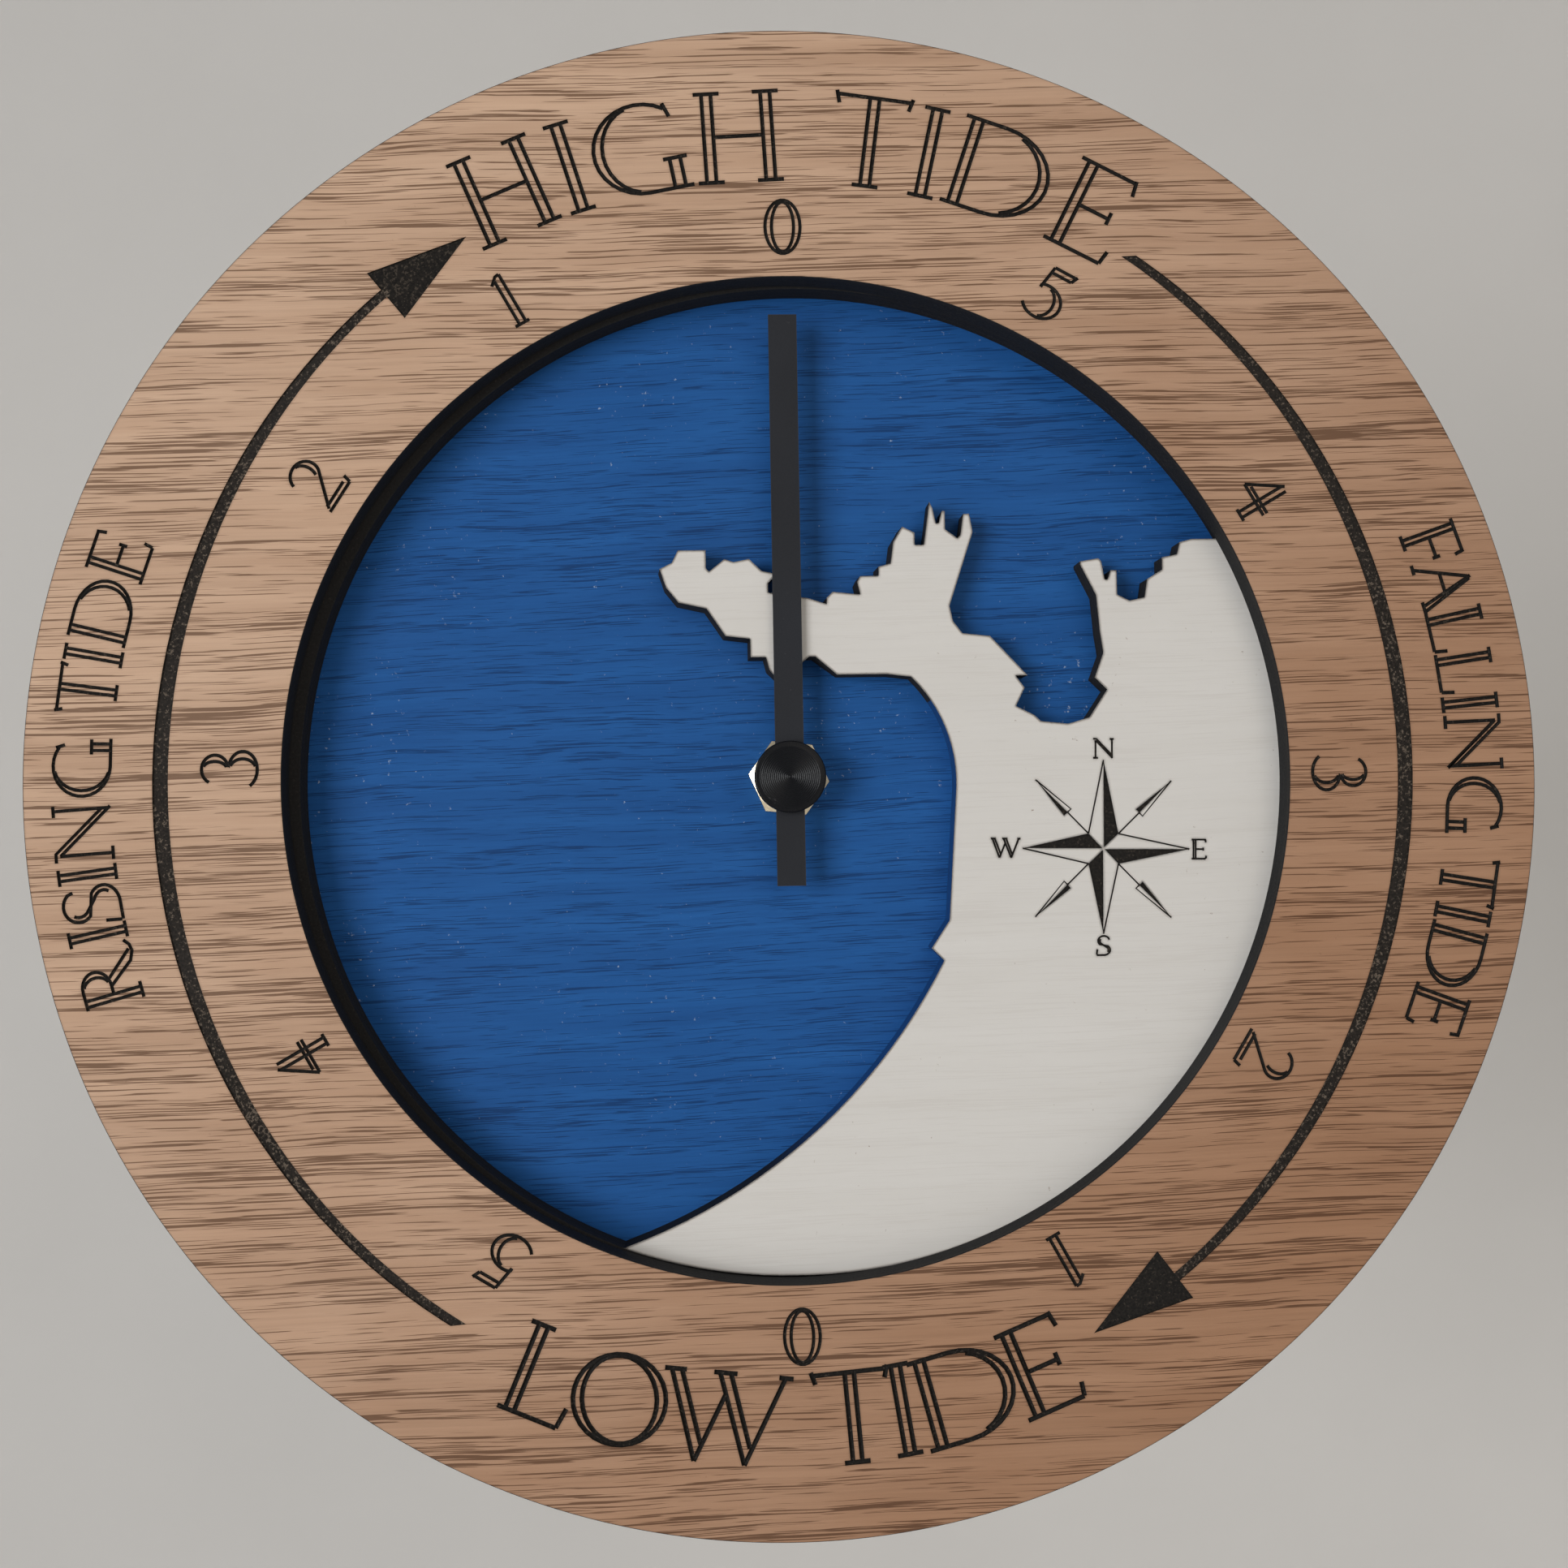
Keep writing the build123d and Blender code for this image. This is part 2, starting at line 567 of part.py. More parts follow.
def coil_bobbin():
    barrel = bar_x(BOBBIN_BARREL_DIAMETER, coil_span, coil_place)
    for start in (coil_span[0], coil_span[1] - BOBBIN_FLANGE_THICKNESS):
        barrel += bar_x(BOBBIN_FLANGE_DIAMETER, (start, start + BOBBIN_FLANGE_THICKNESS), coil_place)
    half_y = CORE_THICKNESS / 2 + BOBBIN_BORE_GAP
    half_z = CORE_WIDTH / 2 + BOBBIN_BORE_GAP
    y_span = (coil_middle - half_y, coil_middle + half_y)
    return barrel - block(coil_span, y_span, (coil_height - half_z, coil_height + half_z))


def coil_winding():
    span = (coil_span[0] + BOBBIN_FLANGE_THICKNESS + PRESS_GAP, coil_span[1] - BOBBIN_FLANGE_THICKNESS - PRESS_GAP)
    bore = bar_x(BOBBIN_BARREL_DIAMETER + 2 * PRESS_GAP, span, coil_place)
    return bar_x(WINDING_DIAMETER, span, coil_place) - bore


# Circuit board

def circuit_board():
    return block((board_left, board_right), (board_front, board_back), (board_bottom, board_top))


def driver_chip():
    place = ((board_left + board_right) / 2, (board_bottom + board_top) / 2)
    chip = disc(place, CHIP_DIAMETER, board_back, board_back + CHIP_HEIGHT)
    return fillet(chip.faces().sort_by(Axis.Y)[-1].edges(), CHIP_HEIGHT * 0.6)


def quartz_crystal():
    place = (board_left + CRYSTAL_DIAMETER, board_back + CRYSTAL_DIAMETER / 2)
    start = board_top - BOARD_END_GAP - CRYSTAL_LENGTH
    can = Plane.XY.offset(start) * Pos(*place) * extrude(Circle(CRYSTAL_DIAMETER / 2), CRYSTAL_LENGTH)
    return fillet(can.faces().sort_by(Axis.Z)[-1].edges(), CRYSTAL_DIAMETER / 8)


# Battery and contacts

def battery():
    nub_start = BATTERY_LENGTH / 2 - BATTERY_NUB_LENGTH
    can = bar_x(BATTERY_DIAMETER, (-BATTERY_LENGTH / 2, nub_start), battery_place)
    can = fillet(can.edges().filter_by(GeomType.CIRCLE), BATTERY_EDGE)
    return can + bar_x(BATTERY_NUB_DIAMETER, (nub_start, BATTERY_LENGTH / 2), battery_place)


contact_y = (battery_place[0] - CONTACT_WIDTH / 2, battery_place[0] + CONTACT_WIDTH / 2)
contact_low = battery_place[1] - CONTACT_WIDTH / 2
contact_high = gear_bottom + 2 * CONTACT_THICKNESS


def positive_contact():
    wall_side = (inner_half - CONTACT_THICKNESS, inner_half)
    tab_high = board_bottom + CONTACT_TAB_LENGTH
    strip = block(wall_side, contact_y, (contact_low, contact_high))
    riser_y = (board_back, contact_y[1])
    strip += block(wall_side, riser_y, (contact_low, tab_high))
    tab_y = (board_back, board_back + CONTACT_THICKNESS)
    strip += block((board_right - CONTACT_TAB_WIDTH, inner_half), tab_y, (board_bottom, tab_high))
    pad = (inner_half - CONTACT_THICKNESS - CONTACT_RISE, inner_half)
    return strip + bar_x(CONTACT_PAD_DIAMETER, pad, battery_place)


def negative_contact():
    wall_side = (-inner_half, -inner_half + CONTACT_THICKNESS)
    run_y = (board_front - CONTACT_THICKNESS - CONTACT_RUN_HEIGHT, board_front - CONTACT_THICKNESS)
    run_z = (gear_bottom + CONTACT_THICKNESS, contact_high)
    strip = block(wall_side, contact_y, (contact_low, contact_high))
    strip += block(wall_side, (run_y[0], contact_y[1]), (bay_top - CONTACT_WIDTH / 2, contact_high))
    strip += block((-inner_half, board_left + CONTACT_TAB_WIDTH), run_y, run_z)
    tab_y = (run_y[0], board_front)
    strip += block((board_left, board_left + CONTACT_TAB_WIDTH), tab_y, run_z)
    foot_y = (board_front - CONTACT_THICKNESS, board_front)
    strip += block((board_left, board_left + CONTACT_TAB_WIDTH), foot_y, (run_z[0], board_bottom + CONTACT_TAB_LENGTH))
    pad = (-inner_half, -inner_half + CONTACT_THICKNESS + CONTACT_RISE)
    return strip + bar_x(CONTACT_PAD_DIAMETER, pad, battery_place)


# Case, cover and bridge

def arbor_bosses():
    """Bearing bosses on the front wall, one for each arbor of the train."""
    rear = (
        (third_place, centre_layer[0]),
        (seconds_place, third_layer[0]),
        (fifth_place, seconds_layer[0]),
        (rotor_place, magnet_front),
    )
    bosses = Part()
    for place, wheel_front in rear:
        boss = disc(place, BOSS_DIAMETER, gear_floor, wheel_front - BOSS_GAP)
        bosses += bored(boss, place, ARBOR_DIAMETER + 2 * RUN_GAP, gear_floor, wheel_front - BOSS_GAP)
    return bosses


def bridge_posts():
    """Posts that carry the bridge, each with a pin through it."""
    posts = Part()
    for place in BRIDGE_POSTS:
        posts += disc(place, POST_DIAMETER, gear_floor, bridge_front)
        posts += disc(place, POST_PIN_DIAMETER, bridge_front, bridge_back)
    return posts


def stator_pads():
    """Two pads under the feet of the stator."""
    pads = Part()
    for left in (stator_left, stator_right_leg - STATOR_LEG_WIDTH):
        place = (left + STATOR_LEG_WIDTH / 2, coil_height)
        pads += disc(place, BOSS_DIAMETER, gear_floor, stator_front)
    return pads


def board_pads():
    """Two pads under the ends of the circuit board."""
    pads = Part()
    for height in (board_bottom + BOARD_PAD_INSET, board_top - BOARD_PAD_INSET):
        place = ((board_left + board_right) / 2, height)
        pads += disc(place, POST_DIAMETER, gear_floor, board_front)
    return pads


def clip_windows():
    """Windows in the side walls for the barbs of the cover's clips."""
    half = CLIP_WIDTH / 2 + CLIP_WINDOW_GAP
    y_span = (cover_front - CLIP_LENGTH - CLIP_WINDOW_GAP,
              cover_front - CLIP_LENGTH + CLIP_BARB_HEIGHT + CLIP_WINDOW_GAP)
    z_span = (CLIP_HEIGHT_ABOVE_AXIS - half, CLIP_HEIGHT_ABOVE_AXIS + half)
    left = block((-outer_half, -inner_half), y_span, z_span)
    return left + block((inner_half, outer_half), y_span, z_span)


def hanger():
    """A tab on top of the case with a hole for a nail or hook."""
    hole = (0, case_top + HANGER_HOLE_RISE)
    tab = Pos(*hole) * Circle(HANGER_WIDTH / 2)
    tab += Pos(0, case_top + (HANGER_HOLE_RISE - CASE_WALL) / 2) * Rectangle(
        HANGER_WIDTH, HANGER_HOLE_RISE + CASE_WALL)
    tab -= Pos(0, gear_top - HANGER_WIDTH / 2) * Rectangle(2 * HANGER_WIDTH, HANGER_WIDTH)
    tab -= Pos(*hole) * Circle(HANGER_HOLE_DIAMETER / 2)
    return slab(tab, -HANGER_THICKNESS, 0)


def movement_case():
    height = case_top - case_bottom
    outline = Pos(0, (case_top + case_bottom) / 2) * RectangleRounded(2 * outer_half, height, CASE_CORNER)
    inner_x = (-inner_half, inner_half)
    case = slab(outline, case_front, 0)
    case -= block(inner_x, (gear_floor, 0), (gear_bottom, gear_top))
    case -= block(inner_x, (bay_floor, 0), (bay_bottom, bay_top))
    case -= block(inner_x, (cover_front, 0), (bay_top, gear_bottom))
    notch = CONTACT_THICKNESS + CONTACT_GAP
    for side in ((-inner_half, -inner_half + notch), (inner_half - notch, inner_half)):
        case -= block(side, (gear_floor, cover_front), (bay_top, gear_bottom))
    case += block((-COVER_RIB_WIDTH / 2, COVER_RIB_WIDTH / 2), (gear_floor, cover_front),
                  (gear_top - COVER_RIB_DEPTH, gear_top))
    case += hanger()
    case += arbor_bosses()
    case += bridge_posts()
    case += stator_pads()
    case += board_pads()
    case += disc(motion_place, STUD_DIAMETER, gear_floor, motion_layer[1] + ARBOR_END_GAP)
    knob_boss = disc(knob_place, KNOB_BOSS_DIAMETER, gear_floor, motion_layer[0] - END_SHAKE)
    case += bored(
        knob_boss, knob_place, KNOB_SHAFT_DIAMETER + 2 * RUN_GAP, gear_floor, motion_layer[0] - END_SHAKE)
    case -= clip_windows()
    flange = BUSH_FLANGE_DIAMETER + 2 * PRESS_GAP
    case -= disc(axis, flange, gear_floor - BUSH_FLANGE_THICKNESS, gear_floor)
    return bored(case, axis, BUSH_DIAMETER + 2 * PRESS_GAP, case_front, gear_floor)


def cover_clip(side):
    """A clip leg on one side of the cover, with a barb that faces the wall."""
    root = inner_half - COVER_GAP
    tip = cover_front - CLIP_LENGTH
    profile = Polygon(
        (root - CLIP_THICKNESS, tip), (root, tip), (root + CLIP_BARB, tip + CLIP_BARB_HEIGHT),
        (root, tip + CLIP_BARB_HEIGHT), (root, cover_front), (root - CLIP_THICKNESS, cover_front), align=None)
    leg = Plane.XY.offset(CLIP_HEIGHT_ABOVE_AXIS - CLIP_WIDTH / 2) * extrude(profile, CLIP_WIDTH)
    return leg if side > 0 else mirror(leg, Plane.YZ)


def rear_cover():
    half = inner_half - COVER_GAP
    cup_front = bridge_back + CUP_BRIDGE_GAP
    cover = block((-half, half), (cover_front, 0), (bay_top + COVER_GAP, gear_top - COVER_GAP))
    cover += disc(knob_place, cup_outer, cup_front, 0)
    cover -= disc(knob_place, cup_inner, cup_front + CUP_FLOOR, 0)
    cover -= disc(knob_place, KNOB_SHAFT_DIAMETER + 2 * RUN_GAP, cup_front, 0)
    return cover + cover_clip(1) + cover_clip(-1)


def train_bridge():
    arbors = (third_place, seconds_place, fifth_place, rotor_place)
    rims = [Pos(*place) * Circle(BRIDGE_POST_RIM) for place in BRIDGE_POSTS]
    rims += [Pos(*place) * Circle(BRIDGE_ARBOR_RIM) for place in (axis,) + arbors]
    outline = make_hull([edge for rim in rims for edge in rim.edges()])
    bridge = slab(outline, bridge_front, bridge_back)
    for place in BRIDGE_POSTS:
        bridge = bored(bridge, place, POST_PIN_DIAMETER + 2 * PRESS_GAP, bridge_front, bridge_back)
    for place in arbors:
        bridge = bored(bridge, place, ARBOR_DIAMETER + 2 * RUN_GAP, bridge_front, bridge_back)
    return bored(bridge, axis, CENTRE_ARBOR_DIAMETER + 2 * RUN_GAP, bridge_front, bridge_back)


PIECES = (
    front_ring, spacer_ring, dial_board, land_overlay, fixing_nut, rubber_washer, threaded_bush,
    movement_case, rear_cover, train_bridge, circuit_board, driver_chip, quartz_crystal,
    stator, coil_core, coil_bobbin, coil_winding, positive_contact, negative_contact, battery,
    tide_hand, hand_cap, hour_wheel, motion_wheel, cannon_arbor, clutch_spring, setting_knob,
    centre_wheel, third_wheel, seconds_wheel, fifth_wheel, rotor, rotor_magnet,
)

os.makedirs("parts", exist_ok=True)
for piece in PIECES:
    export_step(piece(), os.path.join("parts", piece.__name__ + ".step"))
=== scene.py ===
import json
import math

import bpy
from mathutils import Matrix, Vector

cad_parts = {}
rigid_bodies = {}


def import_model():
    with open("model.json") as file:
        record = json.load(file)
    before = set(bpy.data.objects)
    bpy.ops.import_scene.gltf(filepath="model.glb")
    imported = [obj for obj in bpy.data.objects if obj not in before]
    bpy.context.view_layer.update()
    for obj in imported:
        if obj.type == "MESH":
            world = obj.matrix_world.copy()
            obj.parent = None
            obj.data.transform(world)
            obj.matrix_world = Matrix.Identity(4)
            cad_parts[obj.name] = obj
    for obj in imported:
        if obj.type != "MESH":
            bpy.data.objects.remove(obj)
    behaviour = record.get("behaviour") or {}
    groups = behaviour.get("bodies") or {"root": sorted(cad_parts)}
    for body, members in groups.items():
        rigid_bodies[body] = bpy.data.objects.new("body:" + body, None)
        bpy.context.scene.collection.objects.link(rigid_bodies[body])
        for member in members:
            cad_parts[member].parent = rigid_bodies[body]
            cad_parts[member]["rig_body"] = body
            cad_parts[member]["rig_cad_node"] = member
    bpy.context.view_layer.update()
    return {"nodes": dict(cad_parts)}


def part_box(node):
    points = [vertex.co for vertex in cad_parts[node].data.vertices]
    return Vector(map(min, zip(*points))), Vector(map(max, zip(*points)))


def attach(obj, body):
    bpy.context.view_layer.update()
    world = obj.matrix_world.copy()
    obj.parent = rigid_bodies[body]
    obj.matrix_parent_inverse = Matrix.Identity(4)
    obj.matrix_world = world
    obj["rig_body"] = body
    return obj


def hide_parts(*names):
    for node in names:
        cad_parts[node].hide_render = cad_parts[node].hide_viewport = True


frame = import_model()
nodes = frame["nodes"]

# Sizes in metres. Y = 0 is the wall, the dial faces -Y, and the hand turns about the Y axis.
MM = 0.001
RING_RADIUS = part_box("front_ring")[1].x
RING_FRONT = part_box("front_ring")[0].y
SPACER_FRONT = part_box("spacer_ring")[0].y
DIAL_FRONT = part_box("dial_board")[0].y
DIAL_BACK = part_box("dial_board")[1].y
LAND_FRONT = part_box("land_overlay")[0].y
CAP_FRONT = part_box("hand_cap")[0].y
CAP_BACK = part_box("hand_cap")[1].y
CAP_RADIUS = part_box("hand_cap")[1].x
OPENING_RADIUS = 80 * MM
DIAL_HOLE_RADIUS = 4.2 * MM
RIM_STEPS = 288
PLY_EDGE = 0.12 * MM
FLAT_FACE = 0.999
SIDE_FACE = 0.8
BACK_FACE = 0.6
BURNT_SLOT = 1
SMOOTH_ANGLE = 35.0
WELD = 1e-6
FINE_WELD = 1e-7
SPACER_SHIFT = Vector((1.7 * MM, 0, -0.35 * MM))

# Engraving: line radii, and how far a line's middle lies under the surface
UPPER_LINE = 0.37 * MM
LOWER_LINE = 0.44 * MM
LEFT_LINE = 0.31 * MM
RIGHT_LINE = 0.34 * MM
DIGIT_LINE = 0.31 * MM
ROSE_LINE = 0.14 * MM
ROSE_LETTER_LINE = 0.18 * MM
LINE_SINK = 0.06 * MM
SOLID_DEPTH = 0.3 * MM
CUT_ABOVE = 0.4 * MM

# Dial marks. Angles are in degrees clockwise from the top.
DIGIT_RADIUS = 83.75 * MM
DIGIT_HEIGHT = 8.65 * MM
DIGITS = (("0", 0.1), ("5", 29.0), ("4", 60.1), ("3", 90.6), ("2", 121.7), ("1", 151.3),
          ("0", 179.8), ("5", 211.5), ("4", 240.7), ("3", 271.7), ("2", 302.8), ("1", 330.3))
ARROW_RADIUS = 100.2 * MM
ARROW_SAG = 1.4 * MM
ARROW_SAG_SKEW = 1.25
ARROW_WIDTH = 1.45 * MM
ARROW_SWELL = 0.98 * MM
ARROW_SLANT = 1.1
ARROW_HEAD_RADIUS = 99.7 * MM
ARROW_HEAD_HALF = 4.65 * MM
ARROW_HEAD_ANGLE = 9.1
ARROW_LAP = 0.4
ARROW_STEP = 2
ARROWS = ((-148.4, -30.1), (33.4, 152.4))

# Words of the dial: centre and radius of the baseline arc, height, whether the letters point outward, line,
# and the letters with their angles
RING_CENTRE = (0.0, 0.0)
WORDS = (
    ((-0.7 * MM, -7.97 * MM), 103.6 * MM, 14.4 * MM, True, UPPER_LINE, (
        ("H", -23.1), ("I", -17.35), ("G", -11.35), ("H", -3.1),
        ("T", 7.85), ("I", 12.85), ("D", 19.0), ("E", 27.3))),
    (RING_CENTRE, 108.1 * MM, 14.0 * MM, False, LOWER_LINE, (
        ("L", 203.3), ("O", 196.35), ("W", 186.85),
        ("T", 175.4), ("I", 170.95), ("D", 165.2), ("E", 158.05))),
    (RING_CENTRE, 106.5 * MM, 8.8 * MM, True, LEFT_LINE, (
        ("R", -105.4), ("I", -102.0), ("S", -99.6), ("I", -97.1), ("N", -93.7), ("G", -88.4),
        ("T", -82.1), ("I", -79.3), ("D", -75.65), ("E", -71.0))),
    (RING_CENTRE, 105.75 * MM, 8.8 * MM, True, RIGHT_LINE, (
        ("F", 71.0), ("A", 74.4), ("L", 78.4), ("L", 82.0), ("I", 84.7), ("N", 88.05), ("G", 93.4),
        ("T", 99.7), ("I", 102.5), ("D", 106.05), ("E", 110.75))),
)

# Compass rose on the land
ROSE_PLACE = (50.8 * MM, -12.4 * MM)
ROSE_REACH = {"N": 14.4 * MM, "E": 14.1 * MM, "S": 13.8 * MM, "W": 13.2 * MM}
ROSE_TURN = 1.3
ROSE_WAIST = 2.45 * MM
ROSE_HEART = 0.08
ROSE_HEART_SIDE = 0.4
DART_START = 8.3 * MM
DART_END = 15.7 * MM
DART_HALF = 0.78 * MM
ROSE_LETTER = 3.1 * MM
ROSE_LETTER_GAP = 0.35 * MM
ROSE_LETTER_STRETCH = 1.08

# Letter drawing, in letter heights
STEM = 0.105
SERIF = 0.0925
LEFT = STEM / 2 + SERIF
EDGE = LEFT + STEM / 2
ARC_STEP = 12.0
SHARP_CORNER = 50.0
STROKES_MOST = 24


# Small helpers for objects

def deselect():
    if bpy.context.mode != "OBJECT":
        bpy.ops.object.mode_set(mode="OBJECT")
    bpy.ops.object.select_all(action="DESELECT")


def pick(piece):
    """Makes one object the only selected and active one."""
    deselect()
    piece.select_set(True)
    bpy.context.view_layer.objects.active = piece


def edit_all(piece):
    """Opens a piece in edit mode with everything selected."""
    pick(piece)
    bpy.ops.object.mode_set(mode="EDIT")
    bpy.ops.mesh.select_all(action="SELECT")


def close_edit():
    bpy.ops.object.mode_set(mode="OBJECT")


def settle(piece, angle):
    """Puts a piece's place into its mesh and smooths it by angle, but keeps its front and back faces flat."""
    pick(piece)
    bpy.ops.object.transform_apply(location=True, rotation=True, scale=True)
    bpy.ops.object.shade_smooth_by_angle(angle=math.radians(angle))
    for face in piece.data.polygons:
        if abs(face.normal.y) > FLAT_FACE:
            face.use_smooth = False


def merge(piece, distance=WELD):
    edit_all(piece)
    bpy.ops.mesh.remove_doubles(threshold=distance)
    bpy.ops.mesh.normals_make_consistent(inside=False)
    close_edit()


def dress(piece, *materials):
    """Gives a piece its material slots."""
    piece.data.materials.clear()
    for material in materials:
        piece.data.materials.append(material)


def polar(radius, degrees):
    """A place on the dial, clockwise from the top, as X and Z."""
    angle = math.radians(degrees)
    return (radius * math.sin(angle), radius * math.cos(angle))


def lathe(name, profile, steps=RIM_STEPS):
    """A closed profile of radius and Y points, spun once round the hand axis."""
    deselect()
    bpy.ops.mesh.primitive_circle_add(vertices=len(profile), radius=1.0)
    piece = bpy.context.object
    piece.name = name
    for vertex, (radius, y) in zip(piece.data.vertices, profile):
        vertex.co = (radius, y, 0.0)
    edit_all(piece)
    bpy.ops.mesh.spin(steps=steps, angle=2 * math.pi, center=(0, 0, 0), axis=(0, 1, 0))
    close_edit()
    merge(piece)
    return piece


def washer_profile(outer, inner, front, back):
    """A rectangle between two radii and two Y levels, with its corners broken."""
    edge = PLY_EDGE
    return (
        (inner, front + edge), (inner + edge, front), (outer - edge, front), (outer, front + edge),
        (outer, back - edge), (outer - edge, back), (inner + edge, back), (inner, back - edge),
    )


# Letters: each stroke is a list of points and whether it closes

def line(*points):
    return (list(points), False)


def arc_points(centre, radii, start, end):
    count = max(2, int(abs(end - start) / ARC_STEP))
    turns = [math.radians(start + (end - start) * i / count) for i in range(count + 1)]
    return [(centre[0] + radii[0] * math.cos(t), centre[1] + radii[1] * math.sin(t)) for t in turns]


def arc(centre, radii, start, end):
    return (arc_points(centre, radii, start, end), False)


def oval(centre, radii, lean=0.0):
    points = arc_points(centre, radii, 0, 360)[:-1]
    return ([(x + lean * (y - centre[1]), y) for x, y in points], True)


def foot(x, height=0.0):
    return line((x - LEFT, height), (x + LEFT, height))


def twin(x):
    """A thick upright: two thin lines side by side."""
    return [line((side, 0.0), (side, 1.0)) for side in (x - STEM / 2, x + STEM / 2)]


def stem(x):
    return twin(x) + [foot(x), foot(x, 1.0)]


def arms(reach, middle):
    """The upper and middle arms of E and F, each with a tick at its end."""
    return [
        line((0, 1), (reach, 1)), line((reach - 0.01, 1.03), (reach + 0.02, 0.85)),
        line((EDGE, 0.5), (middle, 0.5)), line((middle, 0.43), (middle, 0.58))]


def base_line(reach, tick):
    return line((0, 0), (reach - 0.03, 0), (reach, tick))


def letter_g():
    return [
        (arc_points((0.54, 0.5), (0.54, 0.5), 53, 270) + [(1.03, 0)], False),
        arc((0.55, 0.5), (0.45, 0.49), 105, 255), line((0.86, 0.96), (0.91, 0.80)),
        line((0.817, 0.02), (0.817, 0.335)), line((0.936, 0.02), (0.936, 0.335)),
        line((0.744, 0.335), (1.014, 0.335))]


def letter_s():
    spine = arc_points((0.35, 0.74), (0.28, 0.26), 35, 225) + arc_points((0.33, 0.27), (0.33, 0.27), 50, -95)
    inner = arc_points((0.38, 0.74), (0.22, 0.20), 150, 235) + arc_points((0.30, 0.27), (0.27, 0.20), 60, -30)
    return [
        (spine + [(0, 0)], False), (inner, False), line((0.57, 0.92), (0.61, 0.80)),
        line((0.0, 0.02), (0.03, 0.30))]


LETTERS = {
    "H": (0.95, lambda: stem(LEFT) + stem(0.95 - LEFT) + [line((EDGE, 0.51), (0.95 - EDGE, 0.51))]),
    "I": (2 * LEFT, lambda: stem(LEFT)),
    "T": (0.86, lambda: twin(0.43) + [
        foot(0.43), line((0.02, 1), (0.84, 1)), line((0.0, 1.04), (0.04, 0.90)),
        line((0.86, 1.04), (0.82, 0.90))]),
    "L": (0.73, lambda: twin(LEFT) + [foot(LEFT, 1.0), base_line(0.73, 0.24)]),
    "E": (0.72, lambda: twin(LEFT) + arms(0.68, 0.57) + [base_line(0.72, 0.16)]),
    "F": (0.655, lambda: twin(LEFT) + arms(0.63, 0.58) + [foot(LEFT)]),
    "D": (1.10, lambda: twin(LEFT) + [
        ([(0, 1)] + arc_points((0.48, 0.5), (0.62, 0.5), 90, -90) + [(0, 0)], False),
        arc((0.48, 0.5), (0.52, 0.48), 68, -68)]),
    "G": (1.03, letter_g),
    "O": (1.04, lambda: [oval((0.52, 0.5), (0.52, 0.5)), oval((0.52, 0.5), (0.425, 0.48), -0.10)]),
    "W": (1.445, lambda: [
        line((0.077, 1), (0.424, 0), (0.709, 0.775)), line((0.19, 1), (0.481, 0.19)),
        line((0.619, 1), (0.993, 0), (1.356, 1)), line((0.741, 1), (1.037, 0.19)),
        line((0, 1), (0.245, 1)), line((0.552, 1), (0.814, 1)), line((1.284, 1), (1.445, 1))]),
    "R": (1.07, lambda: twin(LEFT) + [
        foot(LEFT), ([(0.03, 1)] + arc_points((0.36, 0.745), (0.30, 0.255), 90, -90) + [(EDGE, 0.49)], False),
        arc((0.36, 0.745), (0.20, 0.235), 70, -70), line((0.49, 0.49), (0.90, 0.03)),
        line((0.35, 0.48), (0.69, 0.05), (0.85, -0.02), (0.97, 0.0), (1.07, 0.08))]),
    "S": (0.66, letter_s),
    "N": (1.01, lambda: [
        line((0.12, 0), (0.12, 0.93)), line((0, 1), (0.16, 1), (0.92, 0.15)), line((0.12, 0.92), (0.95, 0)),
        line((0.92, 1), (0.92, 0.02)), line((0, 0), (0.24, 0)), line((0.81, 1), (1.01, 1))]),
    "A": (0.93, lambda: [
        line((0.09, 0), (0.47, 0.95)), line((0.47, 1), (0.785, 0)), line((0.51, 0.97), (0.885, 0)),
        line((0.29, 0.46), (0.63, 0.46)), line((0, 0), (0.18, 0)), line((0.70, 0), (0.95, 0))]),
    "0": (0.65, lambda: [oval((0.325, 0.5), (0.325, 0.5)), oval((0.325, 0.5), (0.205, 0.465))]),
    "1": (0.29, lambda: [
        line((0.09, 0), (0.09, 0.92)), line((0.22, 0), (0.22, 1), (0.14, 0.99), (0.0, 0.86)),
        line((0, 0), (0.29, 0))]),
    "2": (0.70, lambda: [
        (arc_points((0.31, 0.74), (0.28, 0.26), 165, -32) + [(0.04, 0.05)], False),
        line((0, 0), (0.66, 0), (0.70, 0.15)), line((0.05, 0.10), (0.60, 0.10)),
        arc((0.30, 0.74), (0.18, 0.24), 75, -40)]),
    "3": (0.615, lambda: [
        (arc_points((0.28, 0.76), (0.26, 0.24), 155, -80)
         + arc_points((0.28, 0.26), (0.335, 0.26), 80, -150), False),
        arc((0.28, 0.76), (0.145, 0.22), 70, -70), arc((0.28, 0.26), (0.20, 0.24), 70, -70)]),
    "4": (0.68, lambda: [
        line((0.42, 1), (0.0, 0.37), (0.68, 0.37)), line((0.10, 0.45), (0.68, 0.45)),
        line((0.39, 0), (0.39, 0.95)), line((0.51, 0), (0.51, 0.97)), line((0.33, 0), (0.58, 0))]),
    "5": (0.68, lambda: [
        ([(0.68, 1), (0.24, 1), (0.16, 0.55)] + arc_points((0.30, 0.32), (0.37, 0.32), 112, -150), False),
        arc((0.29, 0.32), (0.24, 0.29), 75, -75), line((0.22, 0.89), (0.63, 0.89), (0.70, 1.03))]),
}


